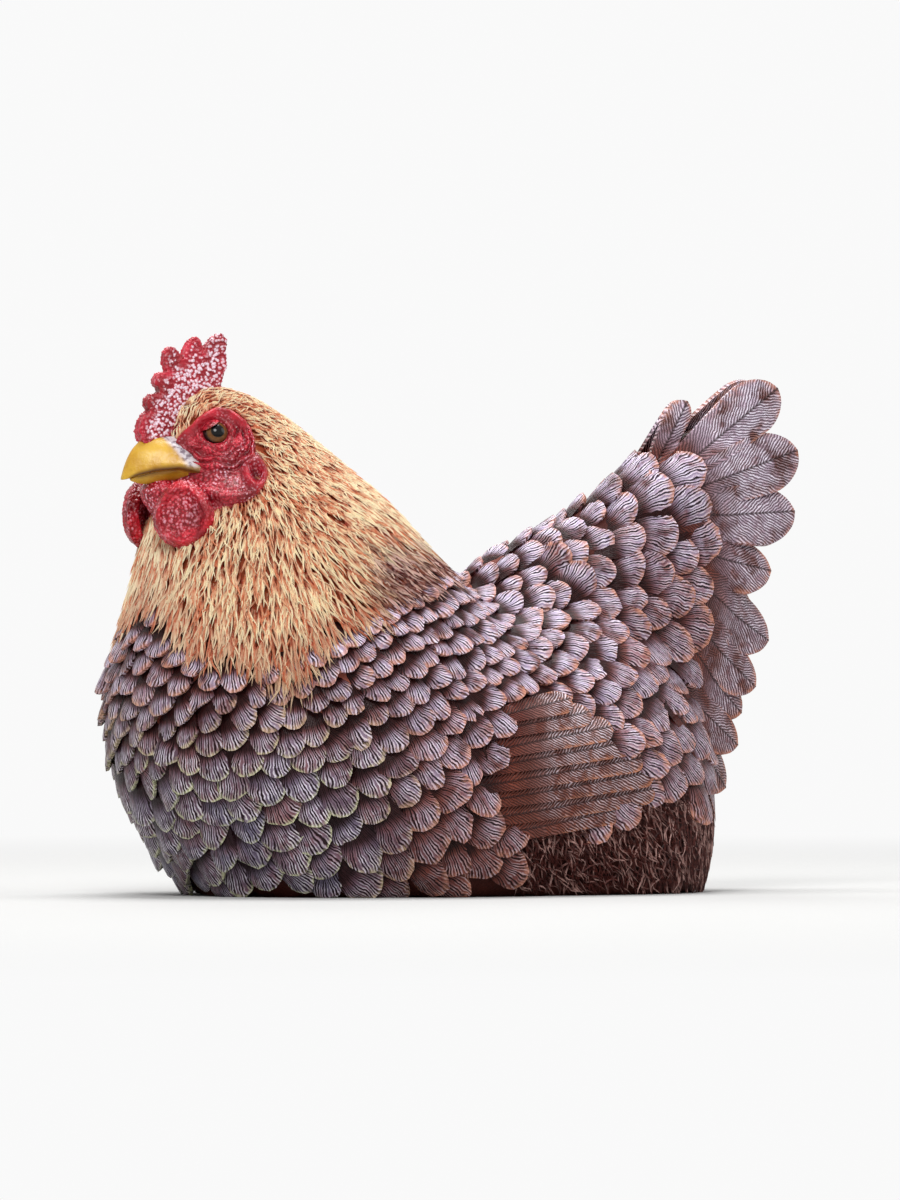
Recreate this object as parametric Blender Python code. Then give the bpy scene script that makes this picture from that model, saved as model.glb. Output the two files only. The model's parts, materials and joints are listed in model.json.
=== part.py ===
"""Garden ornament: a sitting hen, cast in one piece and painted.

The whole bird is one skin. The skin is a radius for every direction from a point in
the belly, so every feather lies on it by two numbers: the turn round the neck line
and how far out along that line's meridian it sits. Lengths are metres, angles degrees.
The beak points to -X and the flat underside lies on Z = 0.
"""

import functools
import math

import bmesh
import bpy
import numpy as np

# Body forms: centre (x, z), radii (along, to the side, up) and pitch of the long axis.
BELLY_POINT = (-0.030, 0.0, 0.085)
NECK_LEAN = 30.0
BODY_FORM = ((-0.035, 0.053), (0.123, 0.104, 0.097), -4.0)
BREAST_FORM = ((-0.085, 0.102), (0.096, 0.092, 0.077), 17.0)
RUMP_FORM = ((0.050, 0.046), (0.086, 0.084, 0.106), 12.0)
TAIL_FORM = ((0.054, 0.122), (0.167, 0.029, 0.038), 44.0)
FAN_FORM = ((0.066, 0.114), (0.107, 0.037, 0.068), 25.0)
NECK_FORM = ((-0.087, 0.140), (0.087, 0.066, 0.068), 128.0)
HEAD_FORM = ((-0.087, 0.162), (0.101, 0.033, 0.042), 124.0)
FORM_BLEND = 9.0

# Scale feathers, in rows round the body like roof tiles.
FEATHERS_AROUND = 36
FEATHER_ROWS = 13
FEATHER_RELIEF = 0.0040
FEATHER_ARCH = 0.55
FIRST_ROW_POLAR = 44.0
TAIL_RIM_POLAR = 90.0
TAIL_RIM_ROW = 9.6
ROW_GROWTH = 1.12
STEPS_PER_FEATHER = 3
BACK_SECTOR = 36.0
BACK_CROWDING = 1.1

# Hackle: the cape of hair-like feathers on the neck.
HACKLE_RINGS = 6
HACKLE_RELIEF = 0.0012
CAPE_THICKNESS = 0.0020

# Wing panel: the smooth patch (x and z limits) that the flight feathers lie on.
WING_PANEL_X = (-0.022, 0.066)
WING_PANEL_Z = (0.026, 0.098)

# Fluff: downy flutes under the tail.
FLUFF_TOP = 0.050
FLUFF_RELIEF = 0.0026

# Crease between the breast and the front of each wing.
CREASE_TURN = 134.0
CREASE_WIDTH = 6.5
CREASE_DEPTH = 0.0045

# Head parts.
COMB_THICKNESS = 0.0070
BEAK_LENGTH = 0.0370
BEAK_HEIGHT = 0.0250
BEAK_WIDTH = 0.0300
BEAK_ROOT = (-0.1460, 0.2150)
BEAK_DROOP = 0.0075
WATTLE_CENTRE = (-0.1605, 0.0140, 0.1895)
WATTLE_SIZE = (0.0300, 0.0100, 0.0340)
WATTLE_SPLAY = 14.0
EYE_CENTRE = (-0.1455, 0.2315)
EYE_DIAMETER = 0.0125
FACE_CENTRE = (-0.1430, 0.2200)
FACE_SIZE = (0.0420, 0.0440)
FACE_RELIEF = 0.0022
EAR_CENTRE = (-0.1270, 0.2085)
EAR_SIZE = (0.0130, 0.0270)
EAR_RELIEF = 0.0048

# Long feathers.
BLADE_ROOT_RISE = 0.0030
BLADE_LIFT = 0.0026
BLADE_DEPTH = 0.0105
PAD_SINK = 0.0040
WING_FEATHER_WIDTH = 0.0108
WING_FEATHER_RELIEF = 0.0040

BODY_COLOUR = (0.078, 0.042, 0.040, 1.0)


# Skin: the smooth body that every feather lies on.

def axes_of_turning():
    """Unit vectors: along the neck, across it towards the back, and to the side."""
    lean = math.radians(NECK_LEAN)
    neck = np.array([-math.sin(lean), 0.0, math.cos(lean)])
    back = np.array([math.cos(lean), 0.0, math.sin(lean)])
    side = np.array([0.0, 1.0, 0.0])
    return neck, back, side


def ray(turn, polar):
    """Directions from the belly point. Turn 0 is the back, 180 the breast; polar 0 is the crown."""
    neck, back, side = axes_of_turning()
    turn, polar = np.radians(turn)[..., None], np.radians(polar)[..., None]
    around = np.cos(turn) * back + np.sin(turn) * side
    return np.cos(polar) * neck + np.sin(polar) * around


def distance_out_of(form, directions):
    """How far a ray from the belly point runs before it leaves one ellipsoid."""
    (x, z), radii, pitch = form
    angle = math.radians(pitch)
    along = np.array([math.cos(angle), 0.0, math.sin(angle)])
    up = np.array([-math.sin(angle), 0.0, math.cos(angle)])
    to_unit = np.stack([along, (0.0, 1.0, 0.0), up]) / np.array(radii)[:, None]
    start = to_unit @ (np.array(BELLY_POINT) - (x, 0.0, z))
    heading = directions @ to_unit.T
    a = (heading**2).sum(-1)
    b = heading @ start
    c = min(start @ start - 1.0, -0.02)
    return (-b + np.sqrt(b * b - a * c)) / a


def crease_depth(turn, polar):
    """The groove in front of each wing, which starts under the cape."""
    off = (np.abs((turn + 180.0) % 360.0 - 180.0) - CREASE_TURN) / CREASE_WIDTH
    begins = np.clip((polar - 58.0) / 6.0, 0.0, 1.0)
    return CREASE_DEPTH * np.exp(-off * off) * begins


def skin(turn, polar):
    """Points of the smooth skin, cut off flat at Z = 0."""
    directions = ray(turn, polar)
    forms = (BODY_FORM, BREAST_FORM, RUMP_FORM, TAIL_FORM, FAN_FORM, NECK_FORM, HEAD_FORM)
    total = sum(distance_out_of(form, directions) ** FORM_BLEND for form in forms)
    reach = total ** (1.0 / FORM_BLEND) - crease_depth(turn, polar)
    falling = np.minimum(directions[..., 2], -1e-6)
    to_floor = np.where(directions[..., 2] < 0.0, -BELLY_POINT[2] / falling, np.inf)
    return np.array(BELLY_POINT) + directions * np.minimum(reach, to_floor)[..., None]


def skin_normal(turn, polar):
    step = 0.4
    across = skin(turn + step, polar) - skin(turn - step, polar)
    down = skin(turn, polar + step) - skin(turn, polar - step)
    normal = np.cross(down, across)
    normal /= np.maximum(np.linalg.norm(normal, axis=-1, keepdims=True), 1e-12)
    outward = (normal * ray(turn, polar)).sum(-1, keepdims=True)
    return normal * np.where(outward < 0.0, -1.0, 1.0)


# Rows: where each row of feathers runs on each meridian.

def cape_polar(turn):
    """How far down the cape of the neck reaches: a point over each shoulder, short in front."""
    off = np.abs((turn + 180.0) % 360.0 - 180.0)
    return np.interp(off, (0, 40, 64, 100, 120, 135, 150, 165, 180), (52, 51, 51, 55, 59, 62, 57, 49, 44))


def first_polar(turn):
    off = np.abs((turn + 180.0) % 360.0 - 180.0)
    return np.interp(off, (0, 60, 120, 180), (48.0, 47.0, FIRST_ROW_POLAR, 40.0))


def row_table(turn):
    """Polar angle of each row line, from the first row to the floor, at one turn."""
    polar = np.linspace(first_polar(turn), 178.0, 500)
    points = skin(np.full_like(polar, turn), polar)
    standing = points[:, 2] > 1e-5
    last = int(np.argmin(standing)) if not standing.all() else len(polar) - 1
    run = np.concatenate([[0.0], np.cumsum(np.linalg.norm(np.diff(points, axis=0), axis=1))])
    rows = np.arange(FEATHER_ROWS + 1) / FEATHER_ROWS
    even = rows**ROW_GROWTH * run[last]
    rim = np.interp(TAIL_RIM_POLAR, polar, run)
    rim_share = TAIL_RIM_ROW / FEATHER_ROWS
    tail = np.where(
        rows < rim_share,
        (rows / rim_share) ** 1.12 * rim,
        rim + (rows - rim_share) / (1.0 - rim_share) * (run[last] - rim),
    )
    off = abs((turn + 180.0) % 360.0 - 180.0)
    tail_weight = np.clip((54.0 - off) / 34.0, 0.0, 1.0)
    tail_weight = tail_weight**2 * (3.0 - 2.0 * tail_weight)
    return np.interp(even + (tail - even) * tail_weight, run, polar)


# Plumage: the relief on the skin.

def step_turns():
    """The turn of each step round the neck line. Steps are closer together over the tail."""
    steps = FEATHERS_AROUND * STEPS_PER_FEATHER
    turn = np.linspace(0.0, 360.0, 721)
    off = np.minimum(turn, 360.0 - turn) / BACK_SECTOR
    crowding = 1.0 + BACK_CROWDING / (1.0 + off**6)
    passed = np.concatenate([[0.0], np.cumsum((crowding[1:] + crowding[:-1]) / 2.0)])
    return np.interp(np.arange(steps) / steps * passed[-1], passed, turn)


def hackle_height(step, polar):
    """Flutes: every other step round the neck is a ridge, deeper as the neck widens."""
    depth = HACKLE_RELIEF * (0.5 + polar / 30.0)
    return depth * (1.0 if step % 2 else -1.0) + CAPE_THICKNESS


def feather_height(across, is_tip):
    crown = 1.0 - across * across
    return FEATHER_RELIEF * (0.30 + 0.70 * crown) if is_tip else -0.0006


def plumage_grid():
    """Rings of points from the crown to the underside, one list of points for each ring."""
    turns = step_turns()
    steps = len(turns)
    tables = np.array([row_table(turn) for turn in turns])
    row_numbers = np.arange(FEATHER_ROWS + 1)
    rings = []

    for ring in range(1, HACKLE_RINGS + 1):
        polar = np.array([first_polar(turn) for turn in turns]) * ring / (HACKLE_RINGS + 0.6)
        heights = np.array([hackle_height(step, polar[step]) for step in range(steps)])
        heights *= min(1.0, ring / 2.0)
        rings.append((turns, polar, heights))

    for ring in range(2 * FEATHER_ROWS):
        row, is_tip = ring // 2, ring % 2 == 1
        edge_row = row if is_tip else row - 1
        polar, heights = np.empty(steps), np.empty(steps)
        for step, turn in enumerate(turns):
            along_edge = (step + edge_row % 2) % STEPS_PER_FEATHER
            across = along_edge / STEPS_PER_FEATHER * 2.0 - 1.0
            line = edge_row + 1.0 - FEATHER_ARCH * across * across
            line += 0.0 if is_tip else 0.06
            polar[step] = np.interp(max(line, 0.0), row_numbers, tables[step])
            heights[step] = feather_height(across, is_tip)
            if polar[step] < cape_polar(turn):
                heights[step] = hackle_height(step, polar[step])
        rings.append((turns, polar, heights))

    rings.append((turns, tables[:, -1] + 0.5, np.zeros(steps)))
    return rings


def raised(turn, polar, heights):
    """Points above the skin, with downy flutes low behind, a smooth wing panel and a flat underside."""
    base = skin(turn, polar)
    x, z = base[:, 0], base[:, 2]
    panel = (x > WING_PANEL_X[0]) & (x < WING_PANEL_X[1]) & (z > WING_PANEL_Z[0]) & (z < WING_PANEL_Z[1])
    heights = np.where(panel & (np.abs(base[:, 1]) > 0.050), -0.0006, heights)
    steps = np.arange(len(turn))
    behind = (x > 0.025) & (z < FLUFF_TOP) & ~panel
    flutes = FLUFF_RELIEF * np.where(steps % 2, 1.0, 0.0)
    heights = np.where(behind, flutes, heights)
    heights = np.where(z > 1e-5, heights, 0.0)
    points = base + skin_normal(turn, polar) * heights[:, None]
    points[:, 2] = np.maximum(points[:, 2], 0.0)
    return points


def make_object(name, mesh_builder, collection):
    mesh = bpy.data.meshes.new(name)
    editable = bmesh.new()
    mesh_builder(editable)
    bmesh.ops.recalc_face_normals(editable, faces=editable.faces)
    editable.to_mesh(mesh)
    editable.free()
    made = bpy.data.objects.new(name, mesh)
    collection.objects.link(made)
    return made


def build_plumage(editable):
    """A sphere of rings and segments, each vertex moved out to its place in the plumage."""
    rings = plumage_grid()
    steps = FEATHERS_AROUND * STEPS_PER_FEATHER
    bmesh.ops.create_uvsphere(editable, u_segments=steps, v_segments=len(rings) + 1, radius=1.0)
    editable.verts.ensure_lookup_table()
    by_ring = {}
    for vertex in editable.verts:
        polar = math.degrees(math.acos(max(-1.0, min(1.0, vertex.co.z))))
        ring = round(polar * (len(rings) + 1) / 180.0)
        turn = math.degrees(math.atan2(vertex.co.y, vertex.co.x)) % 360.0
        by_ring.setdefault(ring, []).append((round(turn * steps / 360.0) % steps, vertex))
    for ring, (turns, polar, heights) in enumerate(rings, start=1):
        points = raised(turns, polar, heights)
        for step, vertex in by_ring[ring]:
            vertex.co = points[step]
    for ring, polar in ((0, 0.0), (len(rings) + 1, 180.0)):
        by_ring[ring][0][1].co = skin(np.zeros(1), np.full(1, polar))[0]


# Parts that stand on the skin.

@functools.lru_cache
def side_samples():
    """Turn, polar angle and skin point of a fine net over the +Y side."""
    turn, polar = np.meshgrid(np.linspace(4.0, 176.0, 345), np.linspace(3.0, 160.0, 400))
    return turn, polar, skin(turn, polar)


def side_of_skin(x, z):
    """The turn and polar angle at which the +Y side of the skin has this x and z."""
    turn, polar, points = side_samples()
    miss = (points[..., 0] - x) ** 2 + (points[..., 2] - z) ** 2
    best = np.unravel_index(np.argmin(miss), miss.shape)
    return turn[best], polar[best]


def on_side(x, z, height, mirrored):
    """A point at x, z on the bird's side, this high above the skin."""
    turn, polar = (np.array([value]) for value in side_of_skin(x, z))
    point = skin(turn, polar)[0] + skin_normal(turn, polar)[0] * height
    return (point[0], -point[1] if mirrored else point[1], point[2])


def disc_verts(editable, sides, top_share):
    """A low frustum one unit across each way: the blank for each pad and blade."""
    made = bmesh.ops.create_cone(
        editable, cap_ends=True, segments=sides, radius1=1.0, radius2=top_share, depth=1.0
    )
    return made["verts"]


def pad_on_skin(centre, size, relief, pitch, mirrored):
    """An oval pad on the side of the head, such as the red face or the ear lobe."""
    def build(editable):
        angle = math.radians(pitch)
        for vertex in disc_verts(editable, 12, 0.62):
            along, across = vertex.co.x * size[0] / 2.0, vertex.co.y * size[1] / 2.0
            x = centre[0] + along * math.cos(angle) - across * math.sin(angle)
            z = centre[1] + along * math.sin(angle) + across * math.cos(angle)
            height = relief + CAPE_THICKNESS if vertex.co.z > 0.0 else -PAD_SINK
            vertex.co = on_side(x, z, height, mirrored)
    return build


def feather_outline(along):
    """Half width of a long feather along its length, from root -1 to tip 1."""
    return 0.80 + 0.20 * along


def tail_feather(root, tip, width, mirrored):
    """A blade from root to tip. It stands on edge, and its back runs into the middle of the tail."""
    def build(editable):
        start, end = np.array(on_side(*root, BLADE_ROOT_RISE, False)), np.array(tip)
        run = (end - start) / 2.0
        length_way = run / np.linalg.norm(run)
        outward = np.array([0.0, 1.0, 0.0]) - length_way * length_way[1]
        outward /= np.linalg.norm(outward)
        width_way = np.cross(outward, length_way)
        for vertex in disc_verts(editable, 10, 0.70):
            along, across, lift = vertex.co
            place = (start + end) / 2.0 + run * along
            place = place + width_way * across * feather_outline(along) * width / 2.0
            place = place + outward * (BLADE_LIFT if lift > 0.0 else -BLADE_DEPTH)
            vertex.co = (place[0], -place[1] if mirrored else place[1], place[2])
    return build


def wing_feather(root, tip, mirrored):
    """A long flight feather pressed against the flank."""
    def build(editable):
        start, end = np.array(root), np.array(tip)
        run = (end - start) / 2.0
        width_way = np.array([-run[1], run[0]]) / np.linalg.norm(run)
        for vertex in disc_verts(editable, 10, 0.5):
            along, across, lift = vertex.co
            half_width = WING_FEATHER_WIDTH / 2.0 * feather_outline(along)
            x, z = (start + end) / 2.0 + run * along + width_way * across * half_width
            height = WING_FEATHER_RELIEF if lift > 0.0 else -PAD_SINK
            vertex.co = on_side(x, z, height, mirrored)
    return build


# Tail feathers: root on the skin as (x, z), tip as (x, y, z), and width.
TAIL_FEATHERS = (
    ((0.118, 0.212), (0.1815, 0.008, 0.2530), 0.0280),
    ((0.122, 0.196), (0.1908, 0.013, 0.2170), 0.0290),
    ((0.126, 0.180), (0.1840, 0.016, 0.1840), 0.0290),
    ((0.120, 0.166), (0.1720, 0.018, 0.1540), 0.0270),
    ((0.116, 0.150), (0.1680, 0.020, 0.1215), 0.0280),
    ((0.110, 0.126), (0.1600, 0.022, 0.0980), 0.0250),
    ((0.104, 0.106), (0.1480, 0.024, 0.0780), 0.0240),
    ((0.100, 0.084), (0.1400, 0.026, 0.0560), 0.0240),
)

# Flight feathers of the folded wing: root and tip as (x, z).
WING_FEATHERS = (
    ((-0.016, 0.084), (0.046, 0.091)),
    ((-0.020, 0.073), (0.056, 0.084)),
    ((-0.024, 0.062), (0.063, 0.074)),
    ((-0.026, 0.051), (0.068, 0.064)),
    ((-0.026, 0.040), (0.070, 0.053)),
    ((-0.022, 0.029), (0.062, 0.042)),
)

# Outline of the comb in the middle plane, as (x, z): its foot, then six points and their notches.
COMB_OUTLINE = (
    (-0.1285, 0.2480), (-0.1275, 0.2580), (-0.1262, 0.2720), (-0.1280, 0.2785),
    (-0.1335, 0.2768), (-0.1385, 0.2700), (-0.1410, 0.2765), (-0.1450, 0.2780),
    (-0.1495, 0.2725), (-0.1510, 0.2670), (-0.1555, 0.2730), (-0.1600, 0.2722),
    (-0.1620, 0.2650), (-0.1618, 0.2585), (-0.1668, 0.2600), (-0.1692, 0.2550),
    (-0.1672, 0.2475), (-0.1722, 0.2480), (-0.1740, 0.2425), (-0.1715, 0.2375),
    (-0.1752, 0.2350), (-0.1755, 0.2280), (-0.1700, 0.2240), (-0.1500, 0.2380),
)


def comb_object(collection):
    curve = bpy.data.curves.new("comb_outline", "CURVE")
    curve.dimensions = "2D"
    curve.fill_mode = "BOTH"
    curve.extrude = COMB_THICKNESS / 2.0 - 0.0010
    curve.bevel_depth = 0.0010
    curve.bevel_resolution = 0
    spline = curve.splines.new("POLY")
    spline.points.add(len(COMB_OUTLINE) - 1)
    for point, (x, z) in zip(spline.points, COMB_OUTLINE):
        point.co = (x, z, 0.0, 1.0)
    spline.use_cyclic_u = True
    flat = bpy.data.objects.new("comb_outline", curve)
    bpy.context.scene.collection.objects.link(flat)
    flat.rotation_euler = (math.radians(90.0), 0.0, 0.0)
    bpy.context.view_layer.update()
    mesh = bpy.data.meshes.new_from_object(flat.evaluated_get(bpy.context.evaluated_depsgraph_get()))
    mesh.transform(flat.matrix_world)
    bpy.data.objects.remove(flat)
    bpy.data.curves.remove(curve)
    editable = bmesh.new()
    editable.from_mesh(mesh)
    bmesh.ops.remove_doubles(editable, verts=editable.verts, dist=1e-5)
    bmesh.ops.recalc_face_normals(editable, faces=editable.faces)
    editable.to_mesh(mesh)
    editable.free()
    made = bpy.data.objects.new("comb", mesh)
    collection.objects.link(made)
    return made


def build_beak(editable):
    """A drooping cone, taller than it is wide, with a closed gape line along each side."""
    bmesh.ops.create_uvsphere(editable, u_segments=12, v_segments=8, radius=1.0)
    for vertex in editable.verts:
        ahead = (vertex.co.z + 1.0) / 2.0
        angle = math.atan2(vertex.co.y, vertex.co.x)
        swell = math.sin(math.pi / 2.0 * min(1.0, 4.0 * ahead))
        taper = swell * max(0.0, 1.0 - ahead) ** 0.6
        across = math.cos(angle) * BEAK_WIDTH / 2.0 * taper
        rise = math.sin(angle) * BEAK_HEIGHT / 2.0 * taper
        vertex.co = (
            BEAK_ROOT[0] + 0.004 - ahead * (BEAK_LENGTH + 0.004),
            across,
            BEAK_ROOT[1] + rise - BEAK_DROOP * ahead**1.6,
        )


def wattle(mirrored):
    """A flat hanging lobe, thick round its rim."""
    def build(editable):
        bmesh.ops.create_uvsphere(editable, u_segments=14, v_segments=8, radius=1.0)
        splay = math.radians(WATTLE_SPLAY)
        for vertex in editable.verts:
            rim = min(1.0, math.hypot(vertex.co.x, vertex.co.y))
            thick = WATTLE_SIZE[1] / 2.0 * (0.65 + 0.35 * rim)
            x = vertex.co.x * WATTLE_SIZE[0] / 2.0 * (1.0 - 0.22 * max(0.0, vertex.co.y))
            z = vertex.co.y * WATTLE_SIZE[2] / 2.0
            y = vertex.co.z * thick - z * math.sin(splay)
            y += WATTLE_CENTRE[1]
            vertex.co = (x + WATTLE_CENTRE[0], -y if mirrored else y, z + WATTLE_CENTRE[2])
    return build


def eye(mirrored):
    def build(editable):
        bmesh.ops.create_icosphere(editable, subdivisions=2, radius=EYE_DIAMETER / 2.0)
        centre = on_side(*EYE_CENTRE, FACE_RELIEF - 0.0005, mirrored)
        for vertex in editable.verts:
            vertex.co = [vertex.co[i] + centre[i] for i in range(3)]
    return build


def build_parts(collection):
    """Every piece of relief too large for the plumage grid, each a closed solid."""
    comb_object(collection)
    make_object("beak", build_beak, collection)
    for mirrored in (False, True):
        hand = "right" if not mirrored else "left"
        make_object(f"face_{hand}", pad_on_skin(FACE_CENTRE, FACE_SIZE, FACE_RELIEF, 0.0, mirrored), collection)
        make_object(f"ear_{hand}", pad_on_skin(EAR_CENTRE, EAR_SIZE, EAR_RELIEF, -28.0, mirrored), collection)
        make_object(f"eye_{hand}", eye(mirrored), collection)
        make_object(f"wattle_{hand}", wattle(mirrored), collection)
        for number, (root, tip, width) in enumerate(TAIL_FEATHERS):
            make_object(f"tail_{hand}_{number}", tail_feather(root, tip, width, mirrored), collection)
        for number, (root, tip) in enumerate(WING_FEATHERS):
            make_object(f"wing_{hand}_{number}", wing_feather(root, tip, mirrored), collection)


def new_collection(name):
    made = bpy.data.collections.new(name)
    bpy.context.scene.collection.children.link(made)
    return made


def joined(hen, relief):
    """The hen's mesh with the relief parts joined on, as one skin with no pockets inside it."""
    join = hen.modifiers.new("join_relief", "BOOLEAN")
    join.operation = "UNION"
    join.operand_type = "COLLECTION"
    join.collection = relief
    join.solver = "EXACT"
    join.use_self = True
    bpy.context.view_layer.update()
    mesh = bpy.data.meshes.new_from_object(hen.evaluated_get(bpy.context.evaluated_depsgraph_get()))
    hen.modifiers.remove(join)
    editable = bmesh.new()
    editable.from_mesh(mesh)
    islands, seen = [], set()
    for first in editable.faces:
        island = [] if first.index in seen else [first]
        seen.add(first.index)
        for face in island:
            for edge in face.edges:
                if len(edge.link_faces) != 2:
                    continue
                for other in edge.link_faces:
                    if other.index not in seen:
                        seen.add(other.index)
                        island.append(other)
        islands.append(island)
    outside = max(islands, key=len)
    pockets = [face for island in islands if island is not outside for face in island]
    bmesh.ops.delete(editable, geom=pockets, context="FACES")
    editable.to_mesh(mesh)
    editable.free()
    return in_fixed_order(mesh)


def in_fixed_order(mesh):
    """The same mesh with its points and faces sorted, as the join lists them differently each time."""
    points = [tuple(vertex.co) for vertex in mesh.vertices]
    order = sorted(range(len(points)), key=points.__getitem__)
    place = {old: new for new, old in enumerate(order)}
    rings = []
    for polygon in mesh.polygons:
        ring = [place[index] for index in polygon.vertices]
        start = ring.index(min(ring))
        rings.append(ring[start:] + ring[:start])
    sorted_mesh = bpy.data.meshes.new("hen")
    sorted_mesh.from_pydata([points[index] for index in order], [], sorted(rings))
    bpy.data.meshes.remove(mesh)
    return sorted_mesh


def painted_resin():
    material = bpy.data.materials.new("painted_resin")
    material.use_nodes = True
    shader = material.node_tree.nodes["Principled BSDF"]
    shader.inputs["Base Color"].default_value = BODY_COLOUR
    shader.inputs["Roughness"].default_value = 0.42
    shader.inputs["Metallic"].default_value = 0.0
    return material


def main():
    for old in list(bpy.data.objects):
        bpy.data.objects.remove(old)
    figure = new_collection("hen_figurine")
    relief = new_collection("relief_parts")
    hen = make_object("hen", build_plumage, figure)
    build_parts(relief)
    for part in relief.objects:
        part.hide_render = True
        part.display_type = "WIRE"
    everything = [hen, *relief.objects]
    xs = [vertex.co.x for part in everything for vertex in part.data.vertices]
    middle = (min(xs) + max(xs)) / 2.0
    for part in everything:
        part.location.x = -middle
    hen.data = joined(hen, relief)
    hen.data.materials.append(painted_resin())


main()
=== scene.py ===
# %% [markdown]
# # A sitting hen for the garden, cast in resin and painted by hand
# The real figurine comes out of one mould. Its feathers are shallow relief on a hollow body,
# and the look is in three things: how the feathers overlap, the fine strands on the neck,
# and paint that is dark in the hollows with light colour brushed over every raised rim.
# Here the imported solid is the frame. The cells below shape its body once more and lay each
# kind of relief on that.

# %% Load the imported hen
import json
import math

import bpy
import numpy as np
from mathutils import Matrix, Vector

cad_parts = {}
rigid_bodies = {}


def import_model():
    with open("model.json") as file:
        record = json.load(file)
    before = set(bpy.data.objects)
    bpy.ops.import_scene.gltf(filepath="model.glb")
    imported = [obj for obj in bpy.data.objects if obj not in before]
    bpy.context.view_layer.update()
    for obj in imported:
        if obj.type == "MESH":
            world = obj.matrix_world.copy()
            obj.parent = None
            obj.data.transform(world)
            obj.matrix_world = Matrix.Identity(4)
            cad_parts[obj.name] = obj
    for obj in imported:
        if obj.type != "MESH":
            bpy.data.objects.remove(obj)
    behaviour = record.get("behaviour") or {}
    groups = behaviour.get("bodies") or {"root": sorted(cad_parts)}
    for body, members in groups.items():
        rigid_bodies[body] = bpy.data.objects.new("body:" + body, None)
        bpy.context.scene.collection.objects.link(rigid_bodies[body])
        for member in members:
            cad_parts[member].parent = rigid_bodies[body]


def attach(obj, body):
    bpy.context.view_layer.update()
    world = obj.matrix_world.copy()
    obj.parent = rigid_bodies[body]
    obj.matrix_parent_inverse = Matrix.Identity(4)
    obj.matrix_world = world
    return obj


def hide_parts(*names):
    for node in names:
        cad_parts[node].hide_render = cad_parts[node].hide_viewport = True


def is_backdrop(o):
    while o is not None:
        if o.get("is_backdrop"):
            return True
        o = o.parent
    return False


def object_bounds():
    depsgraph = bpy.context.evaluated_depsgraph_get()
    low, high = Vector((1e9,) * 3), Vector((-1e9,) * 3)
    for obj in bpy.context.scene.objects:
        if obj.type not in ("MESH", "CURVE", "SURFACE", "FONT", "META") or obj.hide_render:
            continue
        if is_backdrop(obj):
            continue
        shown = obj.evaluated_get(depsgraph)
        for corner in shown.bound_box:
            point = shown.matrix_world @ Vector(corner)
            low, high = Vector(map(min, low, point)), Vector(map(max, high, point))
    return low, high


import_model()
cad_low, cad_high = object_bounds()
MM = 0.001
# The drawing measures start at a line over the belly. The solid is centred on its box instead.
HEN_SHIFT = cad_low.x + 0.183
SIDES = ((-1, "left"), (1, "right"))
print("solid", [round(side / MM, 1) for side in cad_high - cad_low], "mm, shift", round(HEN_SHIFT / MM, 2))

# %% [markdown]
# ## Small helpers for working by hand in code
# An operator acts on all that is selected, so each step starts from an empty selection.
# Points move as one array, because a hen has tens of thousands of them.

# %% Helpers for objects and points


def select_only(*pieces):
    if bpy.context.object and bpy.context.object.mode != "OBJECT":
        bpy.ops.object.mode_set(mode="OBJECT")
    bpy.ops.object.select_all(action="DESELECT")
    for piece in pieces:
        piece.select_set(True)
    if pieces:
        bpy.context.view_layer.objects.active = pieces[0]


def just_added(name):
    piece = bpy.context.object
    piece.name = name
    piece.data.name = name
    return piece


def points_of(piece):
    flat = np.empty(len(piece.data.vertices) * 3, np.float32)
    piece.data.vertices.foreach_get("co", flat)
    return flat.reshape(-1, 3).astype(np.float64)


def put_points(piece, points):
    piece.data.vertices.foreach_set("co", np.asarray(points, np.float32).ravel())
    piece.data.update()


def apply_modifiers(piece):
    select_only(piece)
    for modifier in list(piece.modifiers):
        bpy.ops.object.modifier_apply(modifier=modifier.name)


def edit_all():
    bpy.ops.object.mode_set(mode="EDIT")
    bpy.ops.mesh.select_all(action="SELECT")


def facing_out(piece):
    select_only(piece)
    edit_all()
    bpy.ops.mesh.normals_make_consistent(inside=False)
    bpy.ops.object.mode_set(mode="OBJECT")


def write_numbers(piece, name, *columns):
    """Numbers on every point for the paint: three under lie, or four from 0 to 1 under tone."""
    values = np.stack(np.broadcast_arrays(*columns), -1)
    kind, key = ("FLOAT_VECTOR", "vector") if name == "lie" else ("FLOAT_COLOR", "color")
    if name == "tone":
        values = np.clip(values, 0.0, 1.0)
    layer = piece.data.attributes.new(name, kind, "POINT")
    layer.data.foreach_set(key, values.astype(np.float32).ravel())


def finish_piece(piece, material, angle=180.0):
    """Smooth where it is round, shift it onto the solid, and let it ride as part of the hen."""
    piece.data.materials.clear()
    piece.data.materials.append(material)
    select_only(piece)
    bpy.ops.object.shade_smooth_by_angle(angle=math.radians(angle))
    put_points(piece, points_of(piece) + (HEN_SHIFT, 0.0, 0.0))
    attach(piece, "root")
    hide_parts("hen")
    print(piece.name, len(piece.data.polygons), "faces")


def smooth_step(value, low, high):
    t = np.clip((value - low) / (high - low), 0.0, 1.0)
    return t * t * (3.0 - 2.0 * t)


def bell(value, middle, wide):
    """1 where the value is at the middle, and near 0 beyond twice the width."""
    return np.exp(-(((value - middle) / wide) ** 2))


def unit(vectors):
    return vectors / np.maximum(np.linalg.norm(vectors, axis=-1, keepdims=True), 1e-12)


def laid_flat(ways, out):
    return unit(ways - out * (ways * out).sum(-1, keepdims=True))


# %% [markdown]
# ## The smooth body under the feathers
# A modeller would first rough out the bird in clay: a body, a breast, a rump, a tail, a neck
# and a head that run into one another. Here each is an ellipsoid, and a ray from a point in
# the belly finds how far out the blended surface lies. That one distance gives the skin, its
# slope, and a way to press any strand or feather onto it.

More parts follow.
